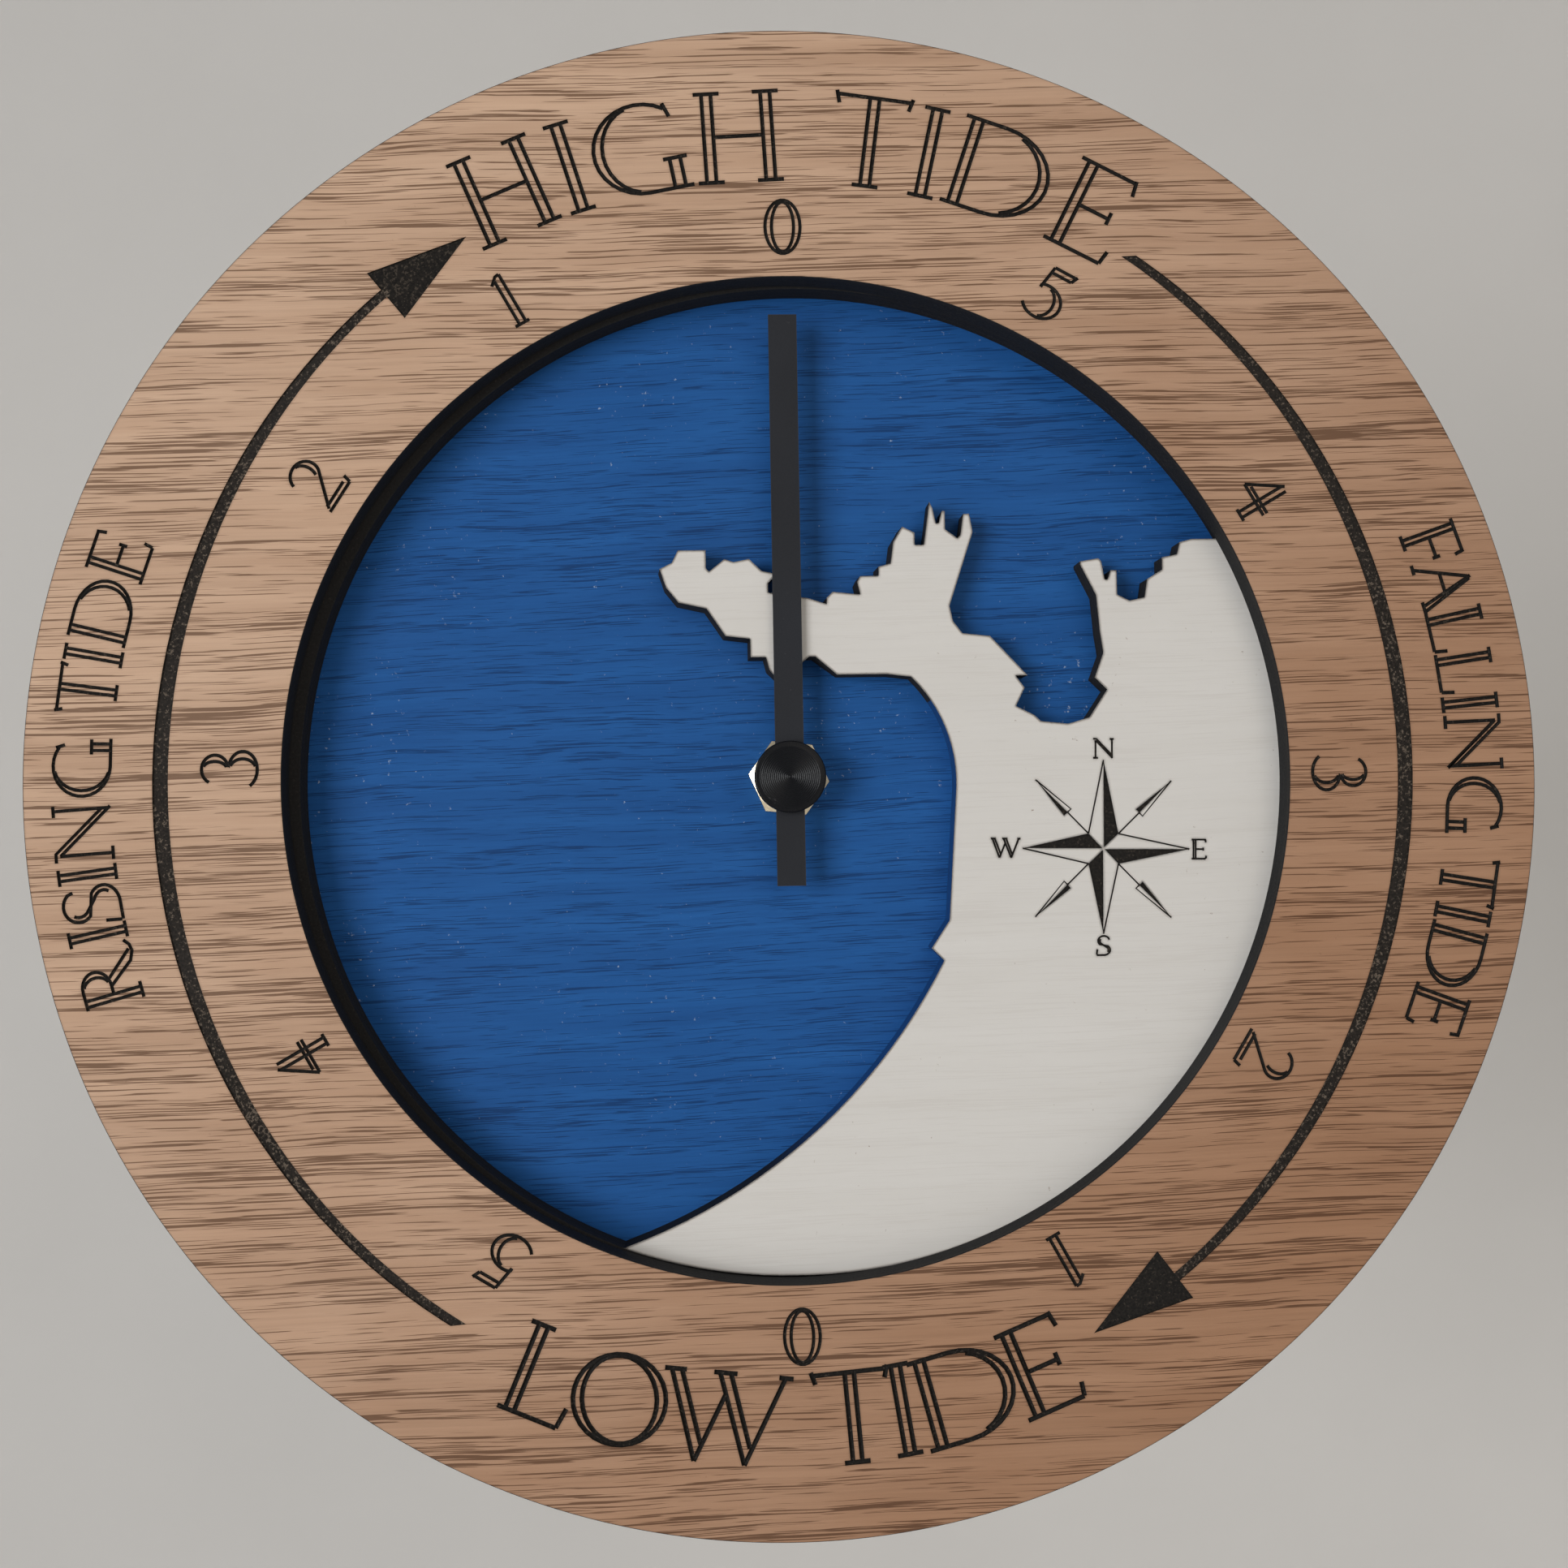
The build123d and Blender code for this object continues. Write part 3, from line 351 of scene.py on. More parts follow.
def split_sharp(points):
    """A stroke's parts between its sharp corners, where one bent tube would pinch."""
    parts = [[points[0]]]
    for index in range(1, len(points) - 1):
        before = Vector(points[index]) - Vector(points[index - 1])
        after = Vector(points[index + 1]) - Vector(points[index])
        parts[-1].append(points[index])
        if before.angle(after) > math.radians(SHARP_CORNER):
            parts.append([points[index]])
    parts[-1].append(points[-1])
    return parts


class Engraving:
    """Strokes to be cut into one flat face.

    Each layer holds one stroke of every letter, so that none overlap in it."""

    def __init__(self, name, face, material, inward=1):
        self.name = name
        self.face = face
        self.inward = inward
        self.material = material
        self.layers = {}
        self.solids = []

    def stroke(self, layer, points, closes, radius):
        self.layers.setdefault((layer, radius), []).append((points, closes))

    def letter(self, sign, place, radius, turn=0):
        """Draws one letter, where place turns a point of it into X and Z. Neighbours take turns 0 and 1."""
        layer = turn * STROKES_MOST
        for points, closes in LETTERS[sign][1]():
            for part in [points] if closes else split_sharp(points):
                self.stroke(layer, [place(u, v) for u, v in part], closes, radius)
                layer += 1

    def solid(self, points, material=None):
        """A flat shape that is burnt all over."""
        self.solids.append((points, material or self.material))

    def cutters(self):
        made = [self.tube(radius, strokes) for (_, radius), strokes in sorted(self.layers.items())]
        return made + [self.plug(points, material) for points, material in self.solids]

    def tube(self, radius, strokes):
        curve = bpy.data.curves.new(self.name + "_lines", "CURVE")
        curve.dimensions = "3D"
        curve.bevel_depth = radius
        curve.bevel_resolution = 1
        curve.use_fill_caps = True
        for points, closes in strokes:
            spline = curve.splines.new("POLY")
            spline.points.add(len(points) - 1)
            for point, (x, z) in zip(spline.points, points):
                point.co = (x, self.face + self.inward * LINE_SINK, z, 1.0)
            spline.use_cyclic_u = closes
        return self.as_mesh(curve, self.material)

    def plug(self, points, material):
        curve = bpy.data.curves.new(self.name + "_solid", "CURVE")
        curve.dimensions = "2D"
        curve.fill_mode = "BOTH"
        curve.extrude = (SOLID_DEPTH + CUT_ABOVE) / 2
        spline = curve.splines.new("POLY")
        spline.points.add(len(points) - 1)
        for point, (x, z) in zip(spline.points, points):
            point.co = (x, z, 0.0, 1.0)
        spline.use_cyclic_u = True
        middle = self.face + self.inward * (SOLID_DEPTH - CUT_ABOVE) / 2
        place = Matrix.Translation((0, middle, 0)) @ Matrix.Rotation(math.pi / 2, 4, "X")
        return self.as_mesh(curve, material, place)

    def as_mesh(self, curve, material, place=None):
        piece = bpy.data.objects.new(curve.name, curve)
        bpy.context.scene.collection.objects.link(piece)
        if place is not None:
            piece.matrix_world = place
        pick(piece)
        bpy.ops.object.convert(target="MESH")
        piece = bpy.context.object
        bpy.ops.object.transform_apply(location=True, rotation=True, scale=True)
        merge(piece, FINE_WELD)
        dress(piece, material)
        return piece

    def cut(self, piece):
        """Cuts all the strokes out of a piece, and the cut faces take the burnt material."""
        group = bpy.data.collections.new(self.name)
        tools = self.cutters()
        for tool in tools:
            group.objects.link(tool)
        pick(piece)
        cut = piece.modifiers.new("engraving", "BOOLEAN")
        cut.operation = "DIFFERENCE"
        cut.operand_type = "COLLECTION"
        cut.collection = group
        cut.solver = "MANIFOLD"
        cut.material_mode = "TRANSFER"
        bpy.ops.object.modifier_apply(modifier=cut.name)
        for tool in tools:
            bpy.data.objects.remove(tool)
        bpy.data.collections.remove(group)


def on_arc(centre, radius, degrees, height, width, outward):
    """Place of a letter that stands on an arc: u and v are in letter heights from its lower left."""
    out = Vector(polar(1.0, degrees))
    along = Vector((out.y, -out.x))
    side = 1.0 if outward else -1.0

    def place(u, v):
        rise = out * (radius + side * v * height)
        point = Vector(centre) + rise + along * (side * (u - width / 2) * height)
        return (point.x, point.y)

    return place


def upright(place, height, width):
    """Place of a letter of the rose, whose lower middle is given in the rose's own directions."""

    def put_point(u, v):
        x = place[0] + (u - width / 2) * ROSE_LETTER_STRETCH * height
        return turned([(x, place[1] + v * height)], 0)[0]

    return put_point


def arrow_outline(start, tip):
    """A band that swells in its middle and starts with a slanted cut, and the arrowhead that it runs into."""
    base = tip - ARROW_HEAD_ANGLE
    steps = int((base - start) / ARROW_STEP)
    outer, inner = [], []
    for step in range(steps + 1):
        share = step / steps
        middle = ARROW_RADIUS - ARROW_SAG * math.sin(math.pi * share ** ARROW_SAG_SKEW)
        half = (ARROW_WIDTH + ARROW_SWELL * math.sin(math.pi * share)) / 2
        angle = start + (base + ARROW_LAP - start) * share
        outer.append(polar(middle + half, angle + (ARROW_SLANT if step == 0 else 0.0)))
        inner.append(polar(middle - half, angle))
    head = [polar(ARROW_HEAD_RADIUS + ARROW_HEAD_HALF, base), polar(ARROW_RADIUS, tip),
            polar(ARROW_HEAD_RADIUS - ARROW_HEAD_HALF, base)]
    return outer + inner[::-1], head


def mark_ring(engraving):
    for sign, degrees in DIGITS:
        place = on_arc(RING_CENTRE, DIGIT_RADIUS, degrees, DIGIT_HEIGHT, LETTERS[sign][0], True)
        engraving.letter(sign, place, DIGIT_LINE)
    for centre, radius, height, outward, thickness, letters in WORDS:
        for index, (sign, degrees) in enumerate(letters):
            place = on_arc(centre, radius, degrees, height, LETTERS[sign][0], outward)
            engraving.letter(sign, place, thickness, index % 2)
    for start, tip in ARROWS:
        band, head = arrow_outline(start, tip)
        engraving.solid(band, SPECKLED)
        engraving.solid(head)


def turned(points, quarter):
    """Points of the rose turned by quarter turns clockwise, and set at the rose's place and slight turn."""
    angle = -quarter * math.pi / 2 - math.radians(ROSE_TURN)
    cos, sin = math.cos(angle), math.sin(angle)
    return [(ROSE_PLACE[0] + x * cos - z * sin, ROSE_PLACE[1] + x * sin + z * cos) for x, z in points]


def mark_rose(engraving):
    """A compass rose: four long points, half dark and half in outline, with four darts on stems between."""
    waist = ROSE_WAIST
    across = 1 / math.sqrt(2)

    def on_diagonal(*points):
        return [((x - z) * across, (x + z) * across) for x, z in points]

    def strokes(layer, quarter, points):
        engraving.stroke(layer, turned(points, quarter), False, ROSE_LINE)

    for quarter, reach in enumerate(ROSE_REACH.values()):
        heart = (ROSE_HEART_SIDE * ROSE_HEART * waist, ROSE_HEART * waist)
        engraving.solid(turned([heart, (waist, waist), (0.0, reach)], quarter))
        strokes(0, quarter, [(-waist, waist), (0.0, reach)])
        strokes(1, quarter, on_diagonal((waist / across, 0), (DART_START, 0)))
        strokes(2, quarter, on_diagonal((DART_START, 0), (DART_START, -DART_HALF), (DART_END, 0)))
        engraving.solid(turned(on_diagonal((DART_START, 0), (DART_END, 0), (DART_START, DART_HALF)), quarter))
    for sign, (east, north) in {"N": (0, 1), "E": (1, 0), "S": (0, -1), "W": (-1, 0)}.items():
        width = LETTERS[sign][0]
        reach = ROSE_REACH[sign] + ROSE_LETTER_GAP + ROSE_LETTER / 2
        middle = east * (reach + (width * ROSE_LETTER_STRETCH - 1) * ROSE_LETTER / 2)
        place = upright((middle, north * reach - ROSE_LETTER / 2), ROSE_LETTER, width)
        engraving.letter(sign, place, ROSE_LETTER_LINE)


# Materials

PATCH_RANGE = (0.3, 0.7)
LINE_RANGE = (0.36, 0.70)
PORE_RANGE = (0.82, 0.86)
BEND_RANGE = (0.0, 0.22)


def tint(colour, share):
    """A colour made darker or paler."""
    return tuple(share * part for part in colour)


class Finish:
    """A material's node tree with short ways to add and join nodes."""

    def __init__(self, tree):
        self.tree = tree

    def feed(self, socket, value):
        """Links an input to another node's output, or sets its value."""
        if isinstance(value, bpy.types.NodeSocket):
            self.tree.links.new(value, socket)
        else:
            socket.default_value = value

    def add(self, kind, settings=None, **values):
        node = self.tree.nodes.new("ShaderNode" + kind)
        for key, value in (settings or {}).items():
            setattr(node, key, value)
        for key, value in values.items():
            self.feed(node.inputs[key.replace("_", " ")], value)
        return node

    def group(self, tree, **values):
        return self.add("Group", {"node_tree": tree}, **values).outputs

    def math(self, operation, first, second, clamp=False):
        node = self.add("Math", {"operation": operation, "use_clamp": clamp})
        for socket, value in zip(node.inputs, (first, second)):
            self.feed(socket, value)
        return node.outputs[0]

    def plus(self, first, second, clamp=False):
        return self.math("ADD", first, second, clamp)

    def minus(self, first, second):
        return self.math("SUBTRACT", first, second)

    def times(self, first, second, clamp=False):
        return self.math("MULTIPLY", first, second, clamp)

    def noise(self, place, scale, detail, roughness=0.5):
        node = self.add("TexNoise", Vector=place, Scale=scale, Detail=detail, Roughness=roughness)
        return node.outputs["Fac"]

    def ramp(self, factor, *stops):
        """A colour ramp with two stops, each a place and a colour."""
        node = self.add("ValToRGB", Fac=factor)
        for element, (place, colour) in zip(node.color_ramp.elements, stops):
            element.position = place
            element.color = (*colour, 1.0)
        return node.outputs[0]

    def patchy(self, patches, colour, dark, pale):
        """A colour that is darker and paler in patches."""
        return self.ramp(patches, (PATCH_RANGE[0], tint(colour, dark)), (PATCH_RANGE[1], tint(colour, pale)))

    def span(self, value, low, high, to_low=0.0, to_high=1.0):
        """Maps a range of values onto another, clamped and smooth."""
        node = self.add("MapRange", {"interpolation_type": "SMOOTHSTEP"}, Value=value,
                        From_Min=low, From_Max=high, To_Min=to_low, To_Max=to_high)
        return node.outputs["Result"]

    def uneven(self, patches, low, high):
        """A value that wanders between two levels from patch to patch."""
        return self.span(patches, *PATCH_RANGE, low, high)

    def mix(self, factor, first, second, blend="MIX"):
        node = self.add("Mix", {"data_type": "RGBA", "blend_type": blend})
        sockets = (node.inputs[0], node.inputs[6], node.inputs[7])
        for socket, value in zip(sockets, (factor, first, second)):
            self.feed(socket, (*value, 1.0) if isinstance(value, tuple) else value)
        return node.outputs[2]

    def over(self, colour, other, mask, share):
        """Lays another colour over the first by a share of a mask."""
        return self.mix(self.times(mask, share), colour, other)


def new_group(name, inputs, outputs):
    """A shader node group with named sockets, its nodes still to be added."""
    tree = bpy.data.node_groups.new(name, "ShaderNodeTree")
    for label, kind, default in inputs:
        socket = tree.interface.new_socket(label, in_out="INPUT", socket_type="NodeSocket" + kind)
        if default is not None:
            socket.default_value = default
    for label, kind in outputs:
        tree.interface.new_socket(label, in_out="OUTPUT", socket_type="NodeSocket" + kind)
    start = tree.nodes.new("NodeGroupInput")
    end = tree.nodes.new("NodeGroupOutput")
    return Finish(tree), start.outputs, end.inputs


def veneer_group():
    """Wood veneer with its grain along X: broad tone, fine lines, and short dark pores."""
    finish, given, result = new_group(
        "veneer",
        (("Vector", "Vector", None), ("Line Length", "Float", 0.02), ("Line Width", "Float", 0.0006),
         ("Waviness", "Float", 0.002), ("Density", "Float", 0.0), ("Tilt", "Float", 0.02)),
        (("Tone", "Float"), ("Lines", "Float"), ("Pores", "Float")))
    wave = finish.noise(given["Vector"], 22.0, 2.0)
    shift = finish.times(finish.minus(wave, 0.5), given["Waviness"])
    split = finish.add("SeparateXYZ", Vector=given["Vector"]).outputs
    level = finish.minus(split["Z"], finish.times(split["X"], given["Tilt"]))
    along = finish.math("DIVIDE", split["X"], given["Line Length"])
    fine = finish.math("DIVIDE", finish.plus(level, shift), given["Line Width"])
    depth = finish.math("DIVIDE", split["Y"], given["Line Width"])
    grain = finish.add("CombineXYZ", X=along, Y=depth, Z=fine).outputs[0]
    broad = finish.add("CombineXYZ", X=finish.times(along, 0.25), Y=depth, Z=finish.times(fine, 0.05))
    lines = finish.noise(grain, 0.4, 4.0, 0.7)
    pores = finish.noise(grain, 1.0, 1.5)
    clusters = finish.noise(grain, 0.10, 2.0)
    chance = finish.plus(pores, finish.times(clusters, 0.5))
    finish.feed(result["Tone"], finish.noise(broad.outputs[0], 1.0, 3.0))
    finish.feed(result["Lines"], finish.span(lines, *LINE_RANGE))
    finish.feed(result["Pores"], finish.span(finish.plus(chance, given["Density"]), *PORE_RANGE))
    return finish.tree


def edge_group():
    """How near a point lies to an edge, broken up by noise, from 0 on the flat to 1 on the edge."""
    finish, given, result = new_group(
        "near_edge",
        (("Vector", "Vector", None), ("Reach", "Float", 0.001), ("Unevenness", "Float", 0.5),
         ("Patch Scale", "Float", 90.0)),
        (("Mask", "Float"),))
    soft = finish.add("Bevel", {"samples": 6}, Radius=given["Reach"])
    plain = finish.add("NewGeometry")
    cosine = finish.add("VectorMath", {"operation": "DOT_PRODUCT"})
    finish.feed(cosine.inputs[0], soft.outputs["Normal"])
    finish.feed(cosine.inputs[1], plain.outputs["True Normal"])
    bend = finish.span(finish.minus(1.0, cosine.outputs["Value"]), *BEND_RANGE)
    patch = finish.noise(given["Vector"], given["Patch Scale"], 3.0)
    broken = finish.times(finish.minus(patch, 0.5), given["Unevenness"])
    mask = finish.times(bend, finish.plus(1.0, finish.times(broken, 2.0)), True)
    finish.feed(result["Mask"], mask)
    return finish.tree


def speckle_group():
    """Fine grit, sparse small scuffs, and broad patches."""
    finish, given, result = new_group(
        "speckle",
        (("Vector", "Vector", None), ("Grit Scale", "Float", 4000.0), ("Scuff Scale", "Float", 260.0),
         ("Scuff Amount", "Float", 0.5)),
        (("Grit", "Float"), ("Scuffs", "Float"), ("Patches", "Float")))
    grit = finish.noise(given["Vector"], given["Grit Scale"], 2.0)
    spots = finish.noise(given["Vector"], given["Scuff Scale"], 4.0, 0.65)
    patches = finish.noise(given["Vector"], 30.0, 3.0)
    raised = finish.plus(spots, finish.times(patches, 0.25))
    gate = finish.minus(1.02, finish.times(given["Scuff Amount"], 0.3))
    finish.feed(result["Grit"], grit)
    finish.feed(result["Scuffs"], finish.times(finish.minus(raised, gate), 14.0, True))
    finish.feed(result["Patches"], patches)
    return finish.tree


VENEER = veneer_group()
NEAR_EDGE = edge_group()
SPECKLE = speckle_group()


def new_finish(name):
    """A material with its Principled shader and the object's own coordinates."""
    material = bpy.data.materials.new(name)
    material.use_nodes = True
    finish = Finish(material.node_tree)
    shader = material.node_tree.nodes["Principled BSDF"]
    where = finish.add("TexCoord").outputs["Object"]
    return material, finish, shader, where


def put(finish, shader, colour, roughness, height, strength, distance, normal=None, specular=0.5):
    """Joins colour, roughness and a bump to the shader, and sets its specular level."""
    bump = finish.add("Bump", Strength=strength, Distance=distance, Height=height)
    if normal is not None:
        finish.feed(bump.inputs["Normal"], normal)
    finish.feed(shader.inputs["Base Color"], colour)
    finish.feed(shader.inputs["Roughness"], roughness)
    finish.feed(shader.inputs["Normal"], bump.outputs["Normal"])
    shader.inputs["Specular IOR Level"].default_value = specular


# How the ring darkens from the upper left to the lower right, partly its veneer's own tone and partly painted
# shade away from the light: the weight of height against X, its start and end, and its unevenness
TONE_SHADE_SLOPE = 0.75
TONE_SHADE_RANGE = (-0.17, 0.19)
TONE_SHADE_UNEVEN = 0.12
RIM_RANGE = (0.25, 0.6)
RIM_BLACK = (0.012, 0.010, 0.009)


def wood(name, light, dark, pore, shares, line_length, line_width, scorch, burn, reach, tone_and_shade=None, rim=0.0):
    """Bare veneer, scorched towards its cut edges. The shares are of streaks, dark pores and tiny specks.

    Where the darker tone is given, the colour falls towards it from the upper left to the lower right, partly
    as the veneer's own tone and partly as painted shade away from the light. A rim is a black outline."""
    material, finish, shader, where = new_finish(name)
    grain = finish.group(VENEER, Vector=where, Line_Length=line_length, Line_Width=line_width)
    edge = finish.group(NEAR_EDGE, Vector=where, Reach=reach, Unevenness=0.9)
    speck = finish.group(SPECKLE, Vector=where, Scuff_Scale=800.0, Scuff_Amount=0.62)
    colour = finish.ramp(grain["Tone"], (0.3, dark), (0.68, light))
    colour = finish.over(colour, tint(dark, 0.62), grain["Lines"], shares[0])
    dashes = finish.times(grain["Pores"], shares[1])
    colour = finish.mix(dashes, colour, pore)
    colour = finish.over(colour, pore, speck["Scuffs"], shares[2])
    # painted shade: darker towards the lower right, away from the light, partly also the veneer's own tone
    if tone_and_shade is not None:
        split = finish.add("SeparateXYZ", Vector=where).outputs
        slope = finish.minus(split["X"], finish.times(split["Z"], TONE_SHADE_SLOPE))
        uneven = finish.times(finish.minus(speck["Patches"], 0.5), TONE_SHADE_UNEVEN)
        colour = finish.mix(finish.span(finish.plus(slope, uneven), *TONE_SHADE_RANGE), colour, tone_and_shade, "MULTIPLY")
    colour = finish.over(colour, scorch, edge["Mask"], burn)
    if rim:
        outline = finish.group(NEAR_EDGE, Vector=where, Reach=rim, Unevenness=0.2)
        colour = finish.mix(finish.span(outline["Mask"], *RIM_RANGE), colour, RIM_BLACK)
    rough = finish.uneven(speck["Patches"], 0.55, 0.70)
    grooves = finish.plus(finish.times(grain["Lines"], 0.3), dashes)
    height = finish.minus(finish.times(speck["Grit"], 0.25), grooves)
    put(finish, shader, colour, rough, height, 0.35, 0.0001, specular=0.25)
    return material


def stained_blue():
    """Sea-blue stain on the sunk dial, with fine dark grain dashes and a few tiny pale fibres."""
    material, finish, shader, where = new_finish("sea_blue_stain")
    grain = finish.group(VENEER, Vector=where, Line_Length=0.008, Line_Width=0.00016, Waviness=0.003,
                         Density=-0.025, Tilt=0.035)
    speck = finish.group(SPECKLE, Vector=where, Scuff_Scale=1100.0, Scuff_Amount=0.7)
    colour = finish.ramp(grain["Tone"], (0.28, (0.0105, 0.076, 0.258)), (0.72, (0.0145, 0.100, 0.322)))
    colour = finish.over(colour, (0.006, 0.052, 0.185), grain["Lines"], 0.25)
    colour = finish.over(colour, (0.004, 0.034, 0.125), grain["Pores"], 0.8)
    colour = finish.over(colour, (0.40, 0.48, 0.60), speck["Scuffs"], 0.6)
    rough = finish.uneven(speck["Patches"], 0.50, 0.62)
    height = finish.minus(finish.times(speck["Grit"], 0.2), grain["Pores"])
    put(finish, shader, colour, rough, height, 0.3, 0.00006, specular=0.12)
    return material


CHAR_GRIT = 2600.0
PLY_RANGE = (0.52, 0.66)
PLY_BROWN = (0.045, 0.034, 0.026)
# colour of the char's pale specks: partly spared wood, partly painted glints
SPARED_WOOD_AND_GLINT = (0.16, 0.125, 0.095)


def charred(name, base_low, base_high, speck_share, speck_amount, plies_share):
    """Laser-burnt wood: near black with paler specks, partly wood the laser spared and partly painted glints
    on the char, and on a cut edge the plies just showing.
    """
    material, finish, shader, where = new_finish(name)
    speck = finish.group(SPECKLE, Vector=where, Grit_Scale=CHAR_GRIT, Scuff_Scale=2200.0,
                         Scuff_Amount=speck_amount)
    level = finish.add("SeparateXYZ", Vector=where).outputs["Y"]
    plies = finish.add("TexNoise", {"noise_dimensions": "1D"}, W=level, Scale=900.0, Detail=1.0)
    colour = finish.ramp(speck["Grit"], (0.3, base_low), (0.75, base_high))
    colour = finish.mix(finish.span(plies.outputs["Fac"], *PLY_RANGE, 0.0, plies_share), colour, PLY_BROWN)
    colour = finish.over(colour, SPARED_WOOD_AND_GLINT, speck["Scuffs"], speck_share)
    rough = finish.uneven(speck["Patches"], 0.72, 0.9)
    put(finish, shader, colour, rough, speck["Grit"], 0.4, 0.00008, specular=0.2)
    return material


# Where the sea's blue fades in on the shore's wall, upwards and to the right, and how unevenly
WASH_Z = (-0.076, -0.050)
WASH_X = (-0.008, 0.010)
WASH_UNEVEN = 0.03


def washed_char():
    """The shore's burnt wall, with the sea's blue washed over its middle stretch."""
    material, finish, shader, where = new_finish("washed_char")
    speck = finish.group(SPECKLE, Vector=where, Grit_Scale=CHAR_GRIT, Scuff_Scale=900.0, Scuff_Amount=0.8)
    split = finish.add("SeparateXYZ", Vector=where).outputs
    height = finish.plus(split["Z"], finish.times(finish.minus(speck["Patches"], 0.5), WASH_UNEVEN))
    washed = finish.times(finish.span(height, *WASH_Z), finish.span(split["X"], *WASH_X))
    colour = finish.ramp(speck["Grit"], (0.3, (0.0085, 0.008, 0.0075)), (0.75, (0.016, 0.0145, 0.013)))
    colour = finish.over(colour, (0.010, 0.070, 0.235), washed, 0.85)
    rough = finish.uneven(speck["Patches"], 0.66, 0.8)
    put(finish, shader, colour, rough, speck["Grit"], 0.35, 0.00008, specular=0.15)
    return material


def moulded(name, colour, roughness, grit=0.25):
    """Moulded plastic or rubber: a fine grained skin, uneven gloss and edges rubbed paler."""
    material, finish, shader, where = new_finish(name)
    speck = finish.group(SPECKLE, Vector=where, Grit_Scale=3200.0, Scuff_Scale=180.0, Scuff_Amount=0.55)
    edge = finish.group(NEAR_EDGE, Vector=where, Reach=0.0003, Unevenness=1.0, Patch_Scale=160.0)
    pale = tuple(min(1.0, 0.75 * part + 0.16) for part in colour)
    shade = finish.patchy(speck["Patches"], colour, 0.85, 1.12)
    shade = finish.over(shade, pale, edge["Mask"], 0.25)
    shade = finish.over(shade, pale, speck["Scuffs"], 0.2)
    rough = finish.uneven(speck["Patches"], roughness - 0.06, roughness + 0.08)
    soft = finish.add("Bevel", {"samples": 4}, Radius=0.0003).outputs["Normal"]
    put(finish, shader, shade, rough, speck["Grit"], grit, 0.00006, soft)
    return material


def metal(name, colour, roughness, stretch, tarnish=0.35, relief=0.18):
    """Plated or turned metal: fine tool lines, patches of duller tone and softened edges."""
    material, finish, shader, where = new_finish(name)
    lines = finish.add("Mapping", Vector=where, Scale=stretch).outputs[0]
    brushed = finish.noise(lines, 1.0, 3.0, 0.6)
    speck = finish.group(SPECKLE, Vector=where, Scuff_Scale=300.0, Scuff_Amount=0.6)
    shade = finish.mix(finish.span(speck["Patches"], 0.35, 0.75, 0.0, tarnish), colour, tint(colour, 0.55))
    shade = finish.over(shade, tint(colour, 0.4), speck["Scuffs"], 0.25)
    rough = finish.uneven(brushed, roughness - 0.08, roughness + 0.12)
    soft = finish.add("Bevel", {"samples": 6}, Radius=0.00015).outputs["Normal"]
    put(finish, shader, shade, rough, brushed, relief, 0.00005, soft)
    shader.inputs["Metallic"].default_value = 1.0
    return material


def lacquer(name, colour, roughness, specular, worn):
    """Black lacquer over metal or plastic, with a fine grit, dust and worn edges."""
    material, finish, shader, where = new_finish(name)
    speck = finish.group(SPECKLE, Vector=where, Grit_Scale=5200.0, Scuff_Scale=700.0, Scuff_Amount=0.75)
    edge = finish.group(NEAR_EDGE, Vector=where, Reach=0.00025, Unevenness=0.8, Patch_Scale=220.0)
    shade = finish.patchy(speck["Patches"], colour, 0.8, 1.25)
    shade = finish.over(shade, (0.22, 0.22, 0.23), speck["Scuffs"], 0.16)
    shade = finish.over(shade, (0.09, 0.09, 0.10), edge["Mask"], worn)
    rough = finish.uneven(speck["Grit"], roughness - 0.05, roughness + 0.08)
    put(finish, shader, shade, rough, speck["Grit"], 0.12, 0.00004, specular=specular)
    return material


# The cell's jacket, in shares of its length: where the copper band starts, and where the bare ends are
JACKET_BAND = (0.735, 0.740)
JACKET_TOP = (0.968, 0.972)
JACKET_FOOT = (0.014, 0.010)


def battery_jacket():
    """Plain printed film: a dark sleeve, a copper-coloured band at the positive end, and bare metal ends."""
    material, finish, shader, where = new_finish("battery_jacket")
    low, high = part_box("battery")
    place = finish.add("SeparateXYZ", Vector=where).outputs["X"]
    along = finish.math("DIVIDE", finish.minus(place, low.x), high.x - low.x)
    speck = finish.group(SPECKLE, Vector=where, Scuff_Scale=200.0, Scuff_Amount=0.5)
    band = finish.span(along, *JACKET_BAND)
    ends = finish.plus(finish.span(along, *JACKET_TOP), finish.span(along, *JACKET_FOOT), True)
    shade = finish.mix(band, (0.016, 0.017, 0.020), (0.42, 0.17, 0.07))
    shade = finish.over(shade, (0.3, 0.3, 0.3), speck["Scuffs"], 0.3)
    shade = finish.mix(ends, shade, (0.60, 0.60, 0.61))
    rough = finish.uneven(speck["Patches"], 0.22, 0.34)
    put(finish, shader, shade, rough, speck["Grit"], 0.08, 0.00004)
    finish.feed(shader.inputs["Metallic"], finish.math("MAXIMUM", ends, finish.times(band, 0.8)))
    return material


SCORCH = (0.05, 0.025, 0.013)
BURNT = charred("burnt_cut", (0.0105, 0.0108, 0.0116), (0.0200, 0.0203, 0.0214), 0.12, 1.0, 0.18)
ENGRAVED = charred("engraved_char", (0.005, 0.0045, 0.004), (0.017, 0.014, 0.0115), 0.28, 1.05, 0.0)
# the arrow bands' heavy pale specks are partly painted glints of the char
SPECKLED = charred("speckled_char", (0.009, 0.0075, 0.006), (0.026, 0.020, 0.016), 0.75, 1.12, 0.0)
